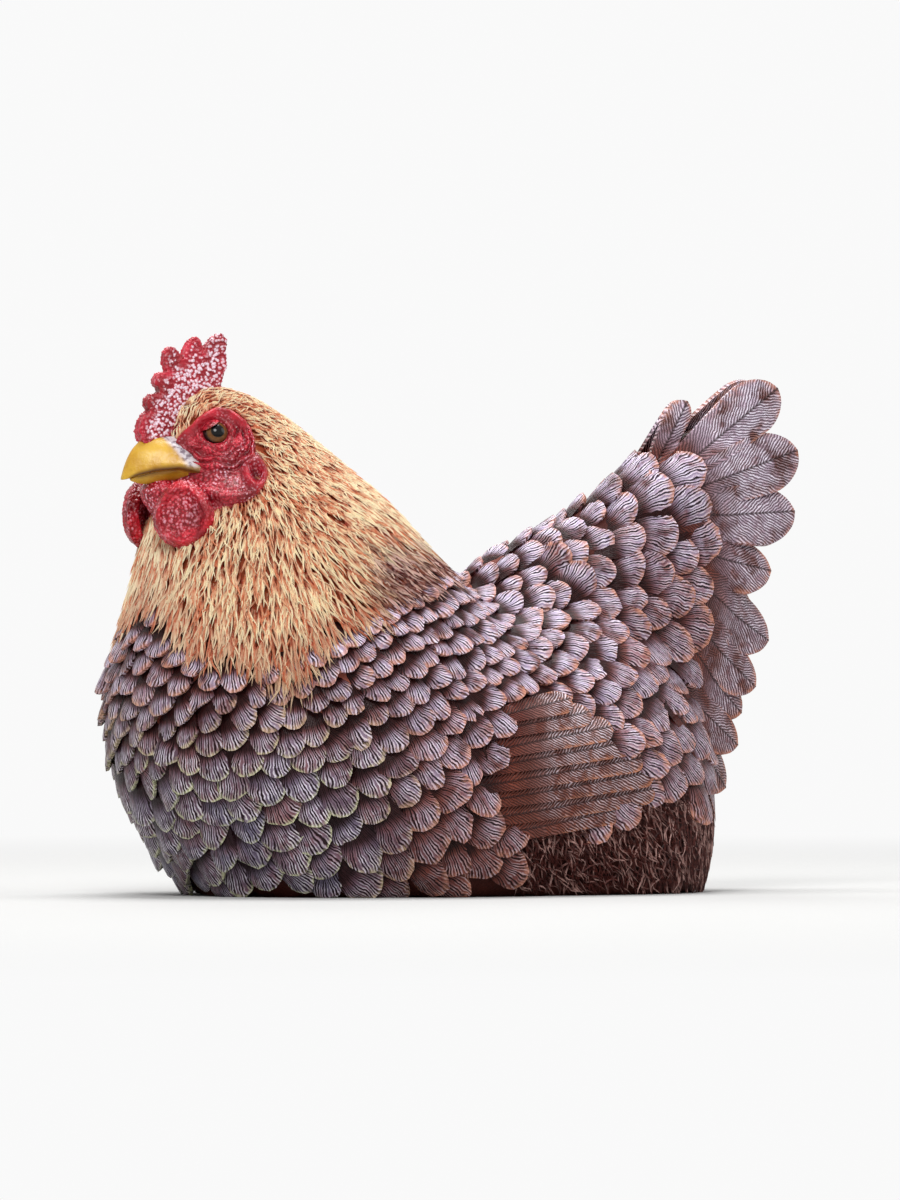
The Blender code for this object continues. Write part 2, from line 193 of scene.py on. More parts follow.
# %% The clay: seven forms blended into one skin
BELLY = np.array((-0.030, 0.0, 0.085))
NECK_LEAN = math.radians(30.0)
NECK_LINE = np.array((-math.sin(NECK_LEAN), 0.0, math.cos(NECK_LEAN)))
BACK_LINE = np.array((math.cos(NECK_LEAN), 0.0, math.sin(NECK_LEAN)))
# Each form: centre (x, z), radii (along, to the side, up), and the pitch of its long axis.
CLAY_FORMS = {
    "body": ((-0.035, 0.053), (0.123, 0.104, 0.097), -4.0),
    "breast": ((-0.085, 0.102), (0.096, 0.092, 0.077), 17.0),
    "rump": ((0.050, 0.046), (0.086, 0.084, 0.106), 12.0),
    "tail": ((0.054, 0.122), (0.167, 0.029, 0.038), 44.0),
    "fan": ((0.066, 0.114), (0.107, 0.037, 0.068), 25.0),
    "neck": ((-0.087, 0.140), (0.087, 0.066, 0.068), 128.0),
    "head": ((-0.087, 0.162), (0.101, 0.033, 0.042), 124.0),
}
BLEND = 9.0
CREASE_TURN = 134.0
CREASE_DEPTH = 0.0045


def out_of_form(form, ways):
    (x, z), radii, pitch = form
    angle = math.radians(pitch)
    along = (math.cos(angle), 0.0, math.sin(angle))
    up = (-math.sin(angle), 0.0, math.cos(angle))
    to_unit = np.stack([along, (0.0, 1.0, 0.0), up]) / np.array(radii)[:, None]
    start = to_unit @ (BELLY - (x, 0.0, z))
    heading = ways @ to_unit.T
    a = (heading**2).sum(-1)
    b = heading @ start
    c = min(start @ start - 1.0, -0.02)
    return (-b + np.sqrt(b * b - a * c)) / a


def turn_polar(points):
    """Where a point lies round the neck's line and down from it, in degrees."""
    ways = unit(points - BELLY)
    turn = np.degrees(np.arctan2(ways[..., 1], ways @ BACK_LINE))
    return turn, np.degrees(np.arccos(np.clip(ways @ NECK_LINE, -1.0, 1.0)))


def reach(ways):
    blended = sum(out_of_form(form, ways) ** BLEND for form in CLAY_FORMS.values()) ** (1.0 / BLEND)
    turn, polar = turn_polar(BELLY + ways)
    crease = bell(np.abs(turn), CREASE_TURN, 6.5) * np.clip((polar - 58.0) / 6.0, 0.0, 1.0)
    return blended - CREASE_DEPTH * crease


def gap(points):
    offset = points - BELLY
    far = np.linalg.norm(offset, axis=-1)
    return far - reach(offset / far[..., None])


def slope(points, step=0.0004):
    here = gap(points)
    moved = [gap(points + step * axis) - here for axis in np.eye(3)]
    return here, np.stack(moved, -1) / step


def onto_skin(points, rounds=3):
    """The nearest places on the skin, and which way is out there."""
    for _ in range(rounds):
        here, rise = slope(points)
        steep = np.maximum((rise**2).sum(-1), 0.3)
        points = points - rise * np.clip(here / steep, -0.02, 0.02)[..., None]
    return points, unit(slope(points)[1])


def skin(turn, polar):
    turn, polar = np.radians(turn)[..., None], np.radians(polar)[..., None]
    around = np.cos(turn) * BACK_LINE + np.sin(turn) * np.array((0.0, 1.0, 0.0))
    ways = np.cos(polar) * NECK_LINE + np.sin(polar) * around
    return BELLY + ways * reach(ways)[..., None]


def side_skin(x, z, side=-1):
    """Where a line seen square from the side meets the skin, for x and z in millimetres."""
    x, z = np.broadcast_arrays(np.asarray(x, float) * MM, np.asarray(z, float) * MM)
    near, far = np.zeros(x.shape), np.full(x.shape, 0.13)
    for _ in range(30):
        middle = (near + far) / 2
        inside = gap(np.stack([x, side * middle, z], -1)) < 0
        near, far = np.where(inside, middle, near), np.where(inside, far, middle)
    return np.stack([x, side * near, z], -1)


print("flank", (side_skin(0, 60) / MM).round(1), "mm")

# %% [markdown]
# ## Camera, floor and light
# The picture is taken low, level with the hen's back, a little ahead of square on its left
# side. A long lens keeps head and tail at one scale. The light is a soft tent with one large
# lamp over the left shoulder, weak enough that a painted colour renders about as written.

# %% Camera, floor and lamps
AIM = Vector((HEN_SHIFT, 0.0, 0.1465))
AZIMUTH = math.radians(-28.0)
CAMERA_FAR = 8.0
camera_data = bpy.data.cameras.new("picture")
camera_data.lens = 480.0
camera_data.sensor_width = 36.0
camera = bpy.data.objects.new("picture", camera_data)
bpy.context.scene.collection.objects.link(camera)
camera.location = AIM + CAMERA_FAR * Vector((math.sin(AZIMUTH), -math.cos(AZIMUTH), 0.0044))
camera.rotation_euler = (AIM - camera.location).to_track_quat("-Z", "Y").to_euler()
bpy.context.scene.camera = camera

select_only()
bpy.ops.mesh.primitive_plane_add(size=60.0)
floor = just_added("floor")
floor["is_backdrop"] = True

LAMPS = {
    "tent_left": ((-0.9, -1.3, 1.5), 0.8, 22.0),
    "tent_top": ((0.1, 0.25, 1.8), 1.0, 25.0),
    "tent_right": ((1.3, -1.0, 1.2), 1.2, 7.0),
    "tent_back": ((0.5, 1.5, 1.4), 1.0, 10.0),
}
for name, (place, size, power) in LAMPS.items():
    data = bpy.data.lights.new(name, "AREA")
    data.shape = "DISK"
    data.size = size
    data.energy = power
    lamp = bpy.data.objects.new(name, data)
    bpy.context.scene.collection.objects.link(lamp)
    lamp.location = place
    lamp.rotation_euler = (Vector((0.0, 0.0, 0.12)) - lamp.location).to_track_quat("-Z", "Y").to_euler()
bpy.context.scene.view_settings.view_transform = "Standard"
print(len(LAMPS), "lamps round the hen, camera", CAMERA_FAR, "m away")

# %% [markdown]
# ## A few words for shader nodes
# A material is a small machine, and most of it is arithmetic. A recipe holds one node tree,
# and each of its words adds a node, wires what that needs, and hands back the socket that
# comes out. Three whole numbers in brackets always mean a colour as it is seen.

# %% Recipes for node trees


def paint(red, green, blue):
    """A colour as it is seen, 0 to 255, in the linear numbers that a shader takes."""
    seen = np.array((red, green, blue)) / 255.0
    linear = np.where(seen <= 0.04045, seen / 12.92, ((seen + 0.055) / 1.055) ** 2.4)
    return (*linear.tolist(), 1.0)


class Recipe:
    """One node tree being written, and the place on the hen that its patterns read."""

    def __init__(self, tree, place=None):
        self.tree = tree
        self.place = place or self.node("TexCoord").outputs["Object"]

    def feed(self, socket, value):
        if isinstance(value, bpy.types.NodeSocket):
            self.tree.links.new(value, socket)
        else:
            socket.default_value = paint(*value) if isinstance(value, tuple) else value

    def node(self, kind, *values, **settings):
        node = self.tree.nodes.new("ShaderNode" + kind)
        for setting, value in settings.items():
            setattr(node, setting, value)
        for socket, value in zip(node.inputs, values):
            self.feed(socket, value)
        return node

    def math(self, operation, *values):
        return self.node("Math", *values, operation=operation).outputs[0]

    def times(self, first, *others):
        for other in others:
            first = self.math("MULTIPLY", first, other)
        return first

    def scaled(self, value, by, plus):
        return self.math("MULTIPLY_ADD", value, by, plus)

    def ramp(self, value, low, high):
        return self.node("MapRange", value, low, high, interpolation_type="SMOOTHSTEP").outputs["Result"]

    def blend(self, amount, first, second):
        node = self.node("Mix", amount, data_type="RGBA")
        self.feed(node.inputs[6], first)
        self.feed(node.inputs[7], second)
        return node.outputs[2]

    def coat(self, under, colour, *amounts):
        """One more colour over what is there, as strong as the amounts multiplied."""
        return self.blend(self.times(*amounts), under, colour)

    def noise(self, scale, detail):
        node = self.node("TexNoise", self.place)
        node.inputs["Scale"].default_value = scale
        node.inputs["Detail"].default_value = detail
        return node.outputs[0]

    def patches(self, scale, detail, low, high):
        return self.ramp(self.noise(scale, detail), low, high)

    def numbers(self, name):
        """The three numbers that a piece carries on its points under one name, and a fourth."""
        carried = self.node("Attribute", attribute_name=name)
        if name == "lie":
            split = self.node("SeparateXYZ", carried.outputs["Vector"])
        else:
            split = self.node("SeparateColor", carried.outputs["Color"])
        return (*split.outputs[:3], carried.outputs["Alpha"])

    def effect(self, group, **values):
        node = self.node("Group", node_tree=group)
        for label, value in {"Place": self.place, **values}.items():
            self.feed(node.inputs[label.replace("_", " ")], value)
        return node.outputs

    def colour_and_relief(self, shader, colour, height, depth):
        self.feed(shader.inputs["Base Color"], colour)
        bump = self.node("Bump")
        bump.inputs["Distance"].default_value = depth
        self.feed(bump.inputs["Height"], height)
        self.feed(shader.inputs["Normal"], bump.outputs["Normal"])


def new_effect(name, inputs, outputs):
    """An empty node group with named sliders. A number is a slider's start, a word its kind."""
    tree = bpy.data.node_groups.new(name, "ShaderNodeTree")
    for label, start in inputs.items():
        kind = start if isinstance(start, str) else "Float"
        socket = tree.interface.new_socket(label, in_out="INPUT", socket_type="NodeSocket" + kind)
        if kind == "Float":
            socket.default_value = start
    for label, kind in outputs.items():
        tree.interface.new_socket(label, in_out="OUTPUT", socket_type="NodeSocket" + kind)
    given, gives = tree.nodes.new("NodeGroupInput").outputs, tree.nodes.new("NodeGroupOutput").inputs
    return tree, Recipe(tree, given["Place"]), given, gives


def new_finish(name, roughness, specular=0.5, coat=0.0):
    material = bpy.data.materials.new(name)
    material.use_nodes = True
    shader = material.node_tree.nodes["Principled BSDF"]
    shader.inputs["Roughness"].default_value = roughness
    shader.inputs["Specular IOR Level"].default_value = specular
    shader.inputs["Coat Weight"].default_value = coat
    shader.inputs["Coat Roughness"].default_value = 0.15
    return material, Recipe(material.node_tree), shader


# %% [markdown]
# ## Effect: barbs
# Barbs are the fine lines that slant off the shaft of a long feather. Points are measured in
# millimetres across and along it, so one slanting wave makes them all. A little noise bends
# the wave, as a hand would.

# %% Effect: barbs
barbs, r, given, gives = new_effect(
    "barbs",
    {"Across": 0.0, "Along": 0.0, "Slant": 2.0, "Pitch": 1.4, "Place": "Vector"},
    {"Ridge": "Float", "Crest": "Float", "Shaft": "Float"},
)
from_shaft = r.math("ABSOLUTE", given["Across"])
slanted = r.scaled(from_shaft, r.times(given["Slant"], -1.0), given["Along"])
square_on = r.math("SQRT", r.scaled(given["Slant"], given["Slant"], 1.0))
count = r.math("DIVIDE", r.math("DIVIDE", slanted, square_on), given["Pitch"])
wander = r.times(r.noise(170.0, 2.0), 2.2)
wave = r.math("SINE", r.times(r.math("ADD", count, wander), 2 * math.pi))
r.feed(gives["Ridge"], r.scaled(wave, 0.5, 0.5))
r.feed(gives["Crest"], r.ramp(wave, 0.0, 0.95))
r.feed(gives["Shaft"], r.ramp(from_shaft, 0.9, 0.25))

# %% [markdown]
# ## Effect: shell grooves
# On a small feather the carver's cuts fan out from the root like the ribs of a shell. They are
# narrow, they wander, and not all go equally deep. The ridge falls only in a cut, where the
# feather paint lays painted shade, and the crest tells where the flat between two cuts stands
# highest, which is where a brush touches and where a painted highlight goes.

# %% Effect: shell grooves
grooves, r, given, gives = new_effect(
    "shell grooves",
    {"Across": 0.0, "Along": 0.0, "Reach": 22.0, "Pitch": 1.5, "Place": "Vector"},
    {"Ridge": "Float", "Crest": "Float"},
)
angle = r.math("ARCTAN2", given["Across"], r.math("ADD", given["Along"], 2.0))
cuts = r.math("DIVIDE", given["Reach"], given["Pitch"])
count = r.scaled(angle, cuts, r.times(r.noise(100.0, 3.0), 4.2))
wave = r.math("SINE", r.times(count, 2 * math.pi))
slow = r.math("SINE", r.times(count, 2.1))
deep = r.scaled(r.ramp(slow, 0.7, -0.3), 0.75, 0.25)
r.feed(gives["Ridge"], r.math("SUBTRACT", 1.0, r.times(r.ramp(wave, 0.10, -0.90), deep)))
r.feed(gives["Crest"], r.ramp(wave, 0.10, 0.90))

# %% [markdown]
# ## Effect: dry brushing
# A nearly dry brush leaves pale paint only on what stands proud. So it follows the distance
# from the rim, which is ragged, and runs on along the crests for a few widths more.

# %% Effect: dry-brushed rim
dry_brush, r, given, gives = new_effect(
    "dry brushed rim",
    {
        "Colour": "Color", "Brushed": "Color", "From Rim": 5.0, "Width": 1.6,
        "Ridge": 0.5, "Load": 0.8, "Place": "Vector",
    },
    {"Colour": "Color"},
)
reach_in = r.times(given["Width"], r.scaled(r.noise(420.0, 4.0), 1.6, 0.3))
on_rim = r.ramp(given["From Rim"], reach_in, 0.0)
streaks = r.ramp(given["From Rim"], r.times(reach_in, 3.4), 0.0)
streaks = r.times(streaks, r.math("POWER", given["Ridge"], 3.0), 0.6)
picked = r.times(r.math("MAXIMUM", on_rim, streaks), given["Load"])
r.feed(gives["Colour"], r.blend(picked, given["Colour"], given["Brushed"]))

# %% [markdown]
# ## Effect: beads
# Comb, face and wattles are pebbled. Rounded cells give each bead a height, and the hollow
# between it and its neighbours, where painted shade goes.

# %% Effect: beads on wet skin
beads, r, given, gives = new_effect(
    "beads", {"Place": "Vector", "Per Metre": 700.0}, {"Height": "Float", "Hollow": "Float"}
)
cells = r.node("TexVoronoi", given["Place"], feature="SMOOTH_F1")
cells.inputs["Smoothness"].default_value = 0.35
r.feed(cells.inputs["Scale"], given["Per Metre"])
r.feed(gives["Height"], r.math("SUBTRACT", 1.0, cells.outputs["Distance"]))
r.feed(gives["Hollow"], r.ramp(cells.outputs["Distance"], 0.35, 0.75))
print("effects", [group.name for group in bpy.data.node_groups])

# %% [markdown]
# ## Feather paint
# The whole hen is first sprayed purple brown. Thin rust colour is washed into the gaps, a
# violet painted sheen and near-white painted highlights sit where the light falls, and copper,
# or pale straw low on the breast, is brushed on the rims. A dark wash and painted shade fill
# the cuts, and painted shadow lies under each rim. Each feather carries its own numbers, so
# no two are painted alike.

# %% Finish: painted feathers


def feather_finish(name, dark, painted_sheen, rim, brushed_width, shell=False):
    """Paint for a grooved shell feather, or for a long one with barbs and a shaft."""
    material, r, shader = new_finish(name, 0.36, 0.14)
    across, along, from_rim, _ = r.numbers("lie")
    luck, pale, up, size = r.numbers("tone")
    long = r.times(size, 60.0)
    share = r.math("DIVIDE", along, long)
    if shell:
        rusty, shiny, hollow, tucked_shadow = (0.42, 0.68), (0.50, 0.80), (0.90, 0.25), (0.67, 0.47)
        lines = r.effect(grooves, Across=across, Along=along, Reach=long, Pitch=1.6)
    else:
        rusty, shiny, hollow, tucked_shadow = (0.10, 0.45), (0.30, 0.75), (0.50, 0.03), (0.30, 0.05)
        lines = r.effect(barbs, Across=across, Along=along, Slant=1.5, Pitch=1.35)
    near_lawn = r.ramp(r.node("SeparateXYZ", r.place).outputs["Z"], 0.11, 0.02)
    body = r.blend(r.ramp(share, *rusty), (112, 44, 34), dark)
    body = r.coat(body, (122, 62, 42), near_lawn, r.math("SUBTRACT", 1.0, pale), 0.55)
    body = r.coat(body, (108, 106, 132), near_lawn, pale, 0.80)
    body = r.coat(body, (128, 70, 62), luck, 0.40)
    # Painted sheen: a violet highlight on the faces that point up, towards each feather's tip, where the
    # light falls.
    sheen = r.times(r.patches(85.0, 3.0, 0.32, 0.55), r.ramp(share, *shiny))
    body = r.coat(body, painted_sheen, up, sheen, 0.90)
    if shell:
        body = r.coat(body, (188, 112, 98), r.ramp(luck, 0.88, 1.0), 0.60)
    body = r.coat(body, (156, 82, 60), r.patches(95.0, 4.0, 0.42, 0.75), 0.35)
    # Near black in the cuts and barbs: partly a dark wash, partly painted shade.
    body = r.coat(body, (28, 9, 11), r.ramp(lines["Ridge"], *hollow), 0.96 if shell else 0.74)
    # Painted highlight: near-white on the crests between the cuts, strongest where the sheen is painted.
    crest = r.times(lines["Crest"], r.ramp(share, 0.50, 0.80), r.patches(260.0, 4.0, 0.33, 0.56))
    highlight_weight = r.scaled(up, 0.74, r.scaled(pale, 0.36, 0.30))
    body = r.coat(body, (244, 236, 250), crest, highlight_weight, r.scaled(sheen, 0.85, 0.25))
    # Painted shadow: the band of each feather just under the rim of the one above, and the root of a long
    # feather, darkened near to black.
    body = r.coat(body, (32, 10, 12), r.ramp(share, *tucked_shadow), 0.92)
    patchy = r.scaled(r.patches(230.0, 3.0, 0.40, 0.56), 0.88, 0.12)
    colour = r.effect(
        dry_brush,
        Colour=body,
        Brushed=r.blend(pale, rim, (222, 224, 178)),
        From_Rim=from_rim,
        Width=r.scaled(pale, -0.55 * brushed_width, brushed_width),
        Ridge=lines["Crest"],
        Load=r.times(r.scaled(luck, 0.45, 0.425), r.ramp(share, 0.60, 0.84), patchy),
    )["Colour"]
    if not shell:
        colour = r.coat(colour, (38, 18, 18), lines["Shaft"], 0.7)
    grain = r.noise(900.0, 3.0)
    r.feed(shader.inputs["Roughness"], r.scaled(grain, 0.20, 0.22))
    r.colour_and_relief(shader, colour, r.scaled(grain, 0.16, lines["Ridge"]), 0.0012 if shell else 0.0006)
    return material


feather_paint = feather_finish("feather paint", (90, 58, 68), (216, 202, 236), (216, 148, 122), 2.6, True)
tail_paint = feather_finish("tail feather paint", (104, 64, 62), (212, 190, 212), (218, 144, 114), 2.4)
flight_paint = feather_finish("flight feather paint", (92, 50, 44), (184, 146, 144), (214, 138, 100), 2.0)

# %% [markdown]
# ## Paint under the feathers and on the strands
# What shows between feathers is a rust wash, salmon in the crease before the wing and glowing
# red under the cape. A strand starts dark at its root and takes the brush at its tip. Strands
# on the back are shaded dark, and those at the edge of the cape are terracotta.

# %% Finish: body under the feathers
under_paint, r, shader = new_finish("rust wash under feathers", 0.6, 0.12)
neck_share, rosy, _, _ = r.numbers("tone")
rust = r.blend(r.noise(160.0, 4.0), (46, 18, 16), (84, 36, 28))
salmon = r.blend(r.noise(160.0, 4.0), (120, 56, 46), (168, 98, 82))
glow = r.blend(r.noise(220.0, 4.0), (140, 52, 34), (186, 92, 54))
wash = r.blend(neck_share, r.blend(rosy, rust, salmon), glow)
r.colour_and_relief(shader, wash, r.noise(700.0, 4.0), 0.0006)


# %% Finish: strands of the neck
def strand_finish(name, root, body, tip, streak, shade, glint, brushed):
    """Strand paint: each strand has its own number, and its tip takes the brush."""
    material, r, shader = new_finish(name, 0.42, 0.20)
    _, share, _, _ = r.numbers("lie")
    luck, dark, low, _ = r.numbers("tone")
    flecks = r.patches(480.0, 3.0, 0.42, 0.62)
    colour = r.blend(r.ramp(share, 0.05, 0.40), root, body)
    colour = r.coat(colour, tip, r.ramp(share, 0.15, 0.60), r.ramp(luck, *brushed))
    colour = r.coat(colour, streak, flecks, 0.28)
    colour = r.coat(colour, (176, 86, 64), low, 0.70)
    # On the dark strands, light flecks and glints are painted highlights.
    shaded = r.blend(r.times(flecks, 0.45), shade, (176, 112, 96))
    shaded = r.coat(shaded, glint, r.ramp(luck, 0.45, 0.75), r.ramp(share, 0.2, 0.6), 0.85)
    r.colour_and_relief(shader, r.blend(dark, colour, shaded), r.noise(1500.0, 3.0), 0.0003)
    return material


hackle_paint = strand_finish(
    "hackle paint",
    root=(150, 54, 38),
    body=(212, 124, 88),
    tip=(248, 234, 198),
    streak=(246, 224, 182),
    shade=(78, 34, 34),
    glint=(234, 196, 186),
    brushed=(0.08, 0.48),
)
fluff_paint = strand_finish(
    "fluff paint",
    root=(24, 8, 8),
    body=(58, 24, 22),
    # On the fluff the tip colour is painted glints, taken by the strands whose luck is over a half.
    tip=(196, 156, 148),
    streak=(128, 66, 56),
    shade=(30, 12, 12),
    glint=(120, 70, 60),
    brushed=(0.50, 1.0),
)

# %% [markdown]
# ## Wet red skin, horn and glass
# Comb, face and wattles are beaded skin under a thick gloss varnish. The beak is yellow horn
# and the eye is a painted ball. All three are dielectrics, and skin and horn are under a clear coat.

# %% Finish: comb, wattle and face red


def wet_red(name, deep, red, sparkle, sparkling, per_metre, depth):
    """Beaded skin: painted shade between the beads and in the folds, and pale painted highlights where the
    varnish would catch the light on them.
    """
    material, r, shader = new_finish(name, 0.30, 0.35, 0.20)
    smooth, fold_shade, highlight_share, _ = r.numbers("lie")
    beady = r.math("SUBTRACT", 1.0, smooth)
    bumps = r.effect(beads, Per_Metre=per_metre)
    colour = r.blend(r.patches(90.0, 4.0, 0.32, 0.68), red, (150, 10, 26))
    # Painted shade: the deep red between the beads and in the folds.
    colour = r.coat(colour, deep, r.math("MAXIMUM", r.times(bumps["Hollow"], 0.80, beady), fold_shade))
    # Painted highlights: pale sparkle on the bead tops, in patches and where the highlight share asks,
    # never in the painted shade of the folds.
    clear = r.times(r.patches(55.0, 3.0, 0.60, 0.42), r.patches(260.0, 3.0, 0.40, 0.60))
    clear = r.scaled(r.math("MAXIMUM", clear, highlight_share), sparkling, 0.06)
    crest = r.ramp(r.scaled(highlight_share, 0.12, bumps["Height"]), 0.50, 0.80)
    colour = r.coat(colour, sparkle, crest, clear, r.math("SUBTRACT", 1.0, fold_shade), beady)
    r.colour_and_relief(shader, colour, r.times(bumps["Height"], beady), depth)
    return material


comb_red = wet_red("comb red", (140, 8, 28), (216, 34, 62), (254, 230, 244), 0.92, 620.0, 0.0012)
wattle_red = wet_red("wattle red", (108, 6, 18), (228, 32, 54), (252, 194, 212), 0.76, 620.0, 0.0010)
face_red = wet_red("face red", (108, 8, 20), (226, 38, 62), (254, 214, 232), 0.88, 700.0, 0.0008)

# %% Finish: horn of the beak
horn, r, shader = new_finish("beak horn", 0.34, 0.35, 0.15)
gape, soft_root, _, _ = r.numbers("tone")
yellow = r.blend(r.patches(75.0, 4.0, 0.3, 0.7), (188, 132, 26), (224, 178, 58))
cere = r.blend(r.patches(420.0, 3.0, 0.40, 0.60), (112, 100, 124), (210, 204, 214))
yellow = r.coat(yellow, cere, soft_root, 0.90)
# Painted shade along the gape line.
yellow = r.coat(yellow, (84, 44, 16), gape)
r.colour_and_relief(shader, yellow, r.noise(300.0, 4.0), 0.0005)

# %% Finish: painted eye
eye_paint, r, shader = new_finish("painted eye", 0.08, 0.25)
rings, _, _, _ = r.numbers("tone")
iris = r.blend(r.noise(700.0, 4.0), (70, 38, 18), (134, 88, 44))
eye = r.coat(iris, (3, 3, 4), r.ramp(rings, 0.37, 0.32))
r.feed(shader.inputs["Base Color"], r.coat(eye, (30, 12, 10), r.ramp(rings, 0.52, 0.66)))

# %% [markdown]
# ## Floor and surround
# The floor is a pale board that runs out into white, as a photographer's paper sweep does. It
# fades by its distance from the hen. The world is white to the eye and in gloss, and dimmer
# where it only lights the figure, so that nothing clips.

# %% Finish: floor and white surround
tent_white, r, shader = new_finish("pale floor", 0.9)
shader.inputs["Base Color"].default_value = paint(200, 200, 199)
from_hen = r.node("VectorMath", r.place, operation="LENGTH").outputs["Value"]
beyond = r.times(r.ramp(from_hen, 0.45, 1.6), r.node("LightPath").outputs["Is Camera Ray"])
glowing = r.node("Emission")
glowing.inputs["Color"].default_value = (0.95, 0.95, 0.95, 1.0)
fade = r.node("MixShader", beyond, shader.outputs[0], glowing.outputs[0])
r.feed(r.tree.nodes["Material Output"].inputs["Surface"], fade.outputs[0])
floor.data.materials.append(tent_white)

world = bpy.data.worlds.new("tent")
bpy.context.scene.world = world
world.use_nodes = True
r = Recipe(world.node_tree)
rays = r.node("LightPath").outputs
seen = r.math("MAXIMUM", rays["Is Camera Ray"], rays["Is Glossy Ray"])
seen = r.math("MAXIMUM", seen, rays["Is Transmission Ray"])
background = world.node_tree.nodes["Background"]
background.inputs["Color"].default_value = (1.0, 1.0, 1.0, 1.0)
r.feed(background.inputs["Strength"], r.scaled(seen, 0.60, 0.35))
print(len(bpy.data.materials), "finishes")

# %% [markdown]
# ## The body under the feathers
# Between the feathers a little of the body shows, washed in rust. It is a UV sphere whose
# points are sent out along their own rays until they meet the skin, and stopped at the lawn,
# so the underside is flat and closed.

# %% Body under the feathers
UNDER_FEATHERS = 0.0026


def cape_edge(turn):
    """How far down the neck the cape of strands reaches on each side, as a polar angle."""
    off = np.abs(turn)
    return np.interp(off, (0, 40, 64, 100, 120, 135, 150, 165, 180), (52, 51, 51, 55, 59, 62, 57, 49, 44))


select_only()
bpy.ops.mesh.primitive_uv_sphere_add(segments=160, ring_count=110, radius=0.1)
under_body = just_added("body_under_feathers")
ways = unit(points_of(under_body))
far = reach(ways) - UNDER_FEATHERS
falling = ways[:, 2] < 0
far[falling] = np.minimum(far[falling], -BELLY[2] / ways[falling, 2])
on_body = BELLY + ways * far[:, None]
put_points(under_body, on_body)
turn, polar = turn_polar(on_body)
seam = bell(np.abs(turn), CREASE_TURN, 9.0) * smooth_step(on_body[:, 2], 0.02, 0.06)
rosy = np.maximum(seam, smooth_step(cape_edge(turn) + 16.0 - polar, 0.0, 10.0))
glow = smooth_step(cape_edge(turn) + 1.0 - polar, 0.0, 5.0)
write_numbers(under_body, "tone", glow, rosy, 0.0, 1.0)
finish_piece(under_body, under_paint, 38.0)

# %% [markdown]
# ## How the feathers lie
# On a hen every feather points away from the beak, and the stream of them bends round the
# wing, drops under the tail and fans out up the tail. It is written as a few arrows on a side
# view. The arrow of any place is a blend of the nearest ones, laid flat on the skin there.
# Feather sizes are written the same way.

# %% Arrows and sizes over the side view
# x, z in millimetres, and the arrow's angle over level, towards the tail.
ARROWS = np.array((
    (-180, 120, -80), (-165, 60, -75), (-130, 90, -65), (-130, 30, -60), (-90, 80, -52), (-80, 30, -50),
    (-60, 130, -58), (-30, 90, -42), (-10, 140, -40), (-20, 40, -35), (30, 110, -30), (25, 158, 0),
    (60, 170, 22), (60, 140, -12), (80, 110, -45), (60, 60, -20), (100, 200, 32), (110, 170, 5),
    (115, 140, -22), (110, 110, -42), (110, 80, -48), (150, 235, 38), (165, 210, 14), (160, 182, -5),
    (150, 155, -28), (145, 125, -40), (130, 90, -45), (90, 30, -55),
), float)
# x, z, then width across and length exposed, all in millimetres.
SIZES = np.array((
    (-110, 110, 12, 8.5), (-60, 140, 11, 8), (-165, 90, 14.5, 10.5), (-150, 40, 19, 14),
    (-90, 60, 17.5, 13), (-60, 30, 20, 15), (-20, 60, 20, 15), (-40, 110, 14, 10), (0, 150, 13, 10),
    (20, 120, 16, 12), (60, 170, 16.5, 13), (70, 130, 19, 15), (110, 170, 22, 18), (110, 120, 22, 18),
    (120, 80, 21, 17), (130, 200, 24, 21), (135, 150, 24, 20),
), float)


def nearby_mean(table, values, points):
    """Mean of the table's values, heavier for the entries that lie near in the side view."""
    offset = points[:, None, [0, 2]] * 1000.0 - table[None, :, :2]
    weight = 1.0 / ((offset**2).sum(-1) + 60.0) ** 2
    return (weight[..., None] * values[None]).sum(1) / weight.sum(1)[:, None]


def arrows_at(table, points):
    angles = np.radians(table[:, 2])
    arrow = unit(nearby_mean(table, np.stack([np.cos(angles), np.sin(angles)], -1), points))
    return np.stack([arrow[:, 0], np.zeros(len(points)), arrow[:, 1]], -1)


def lie_of(points, out):
    rear = smooth_step(out[:, 0], 0.62, 0.85)[:, None]
    arrow = arrows_at(ARROWS, points) * (1.0 - rear) + np.array((0.2, 0.0, -1.0)) * rear
    return laid_flat(arrow, out)


def size_of(points):
    return nearby_mean(SIZES, SIZES[:, 2:], points) * MM


print(len(ARROWS), "arrows and", len(SIZES), "sizes over the side view")

# %% [markdown]
# ## Where the feathers go
# Tiling by hand starts with rows, each half a feather out of step with the row above. Here
# rows are counted along the skin from the neck, in feather lengths, and places along a row in
# feather widths. Then the places push one another apart until the spacing is even, which is
# what keeps neighbours overlapping everywhere on a shape that swells and narrows.

# %% Rows of feather places
luck = np.random.default_rng(11)
ROWS = 34


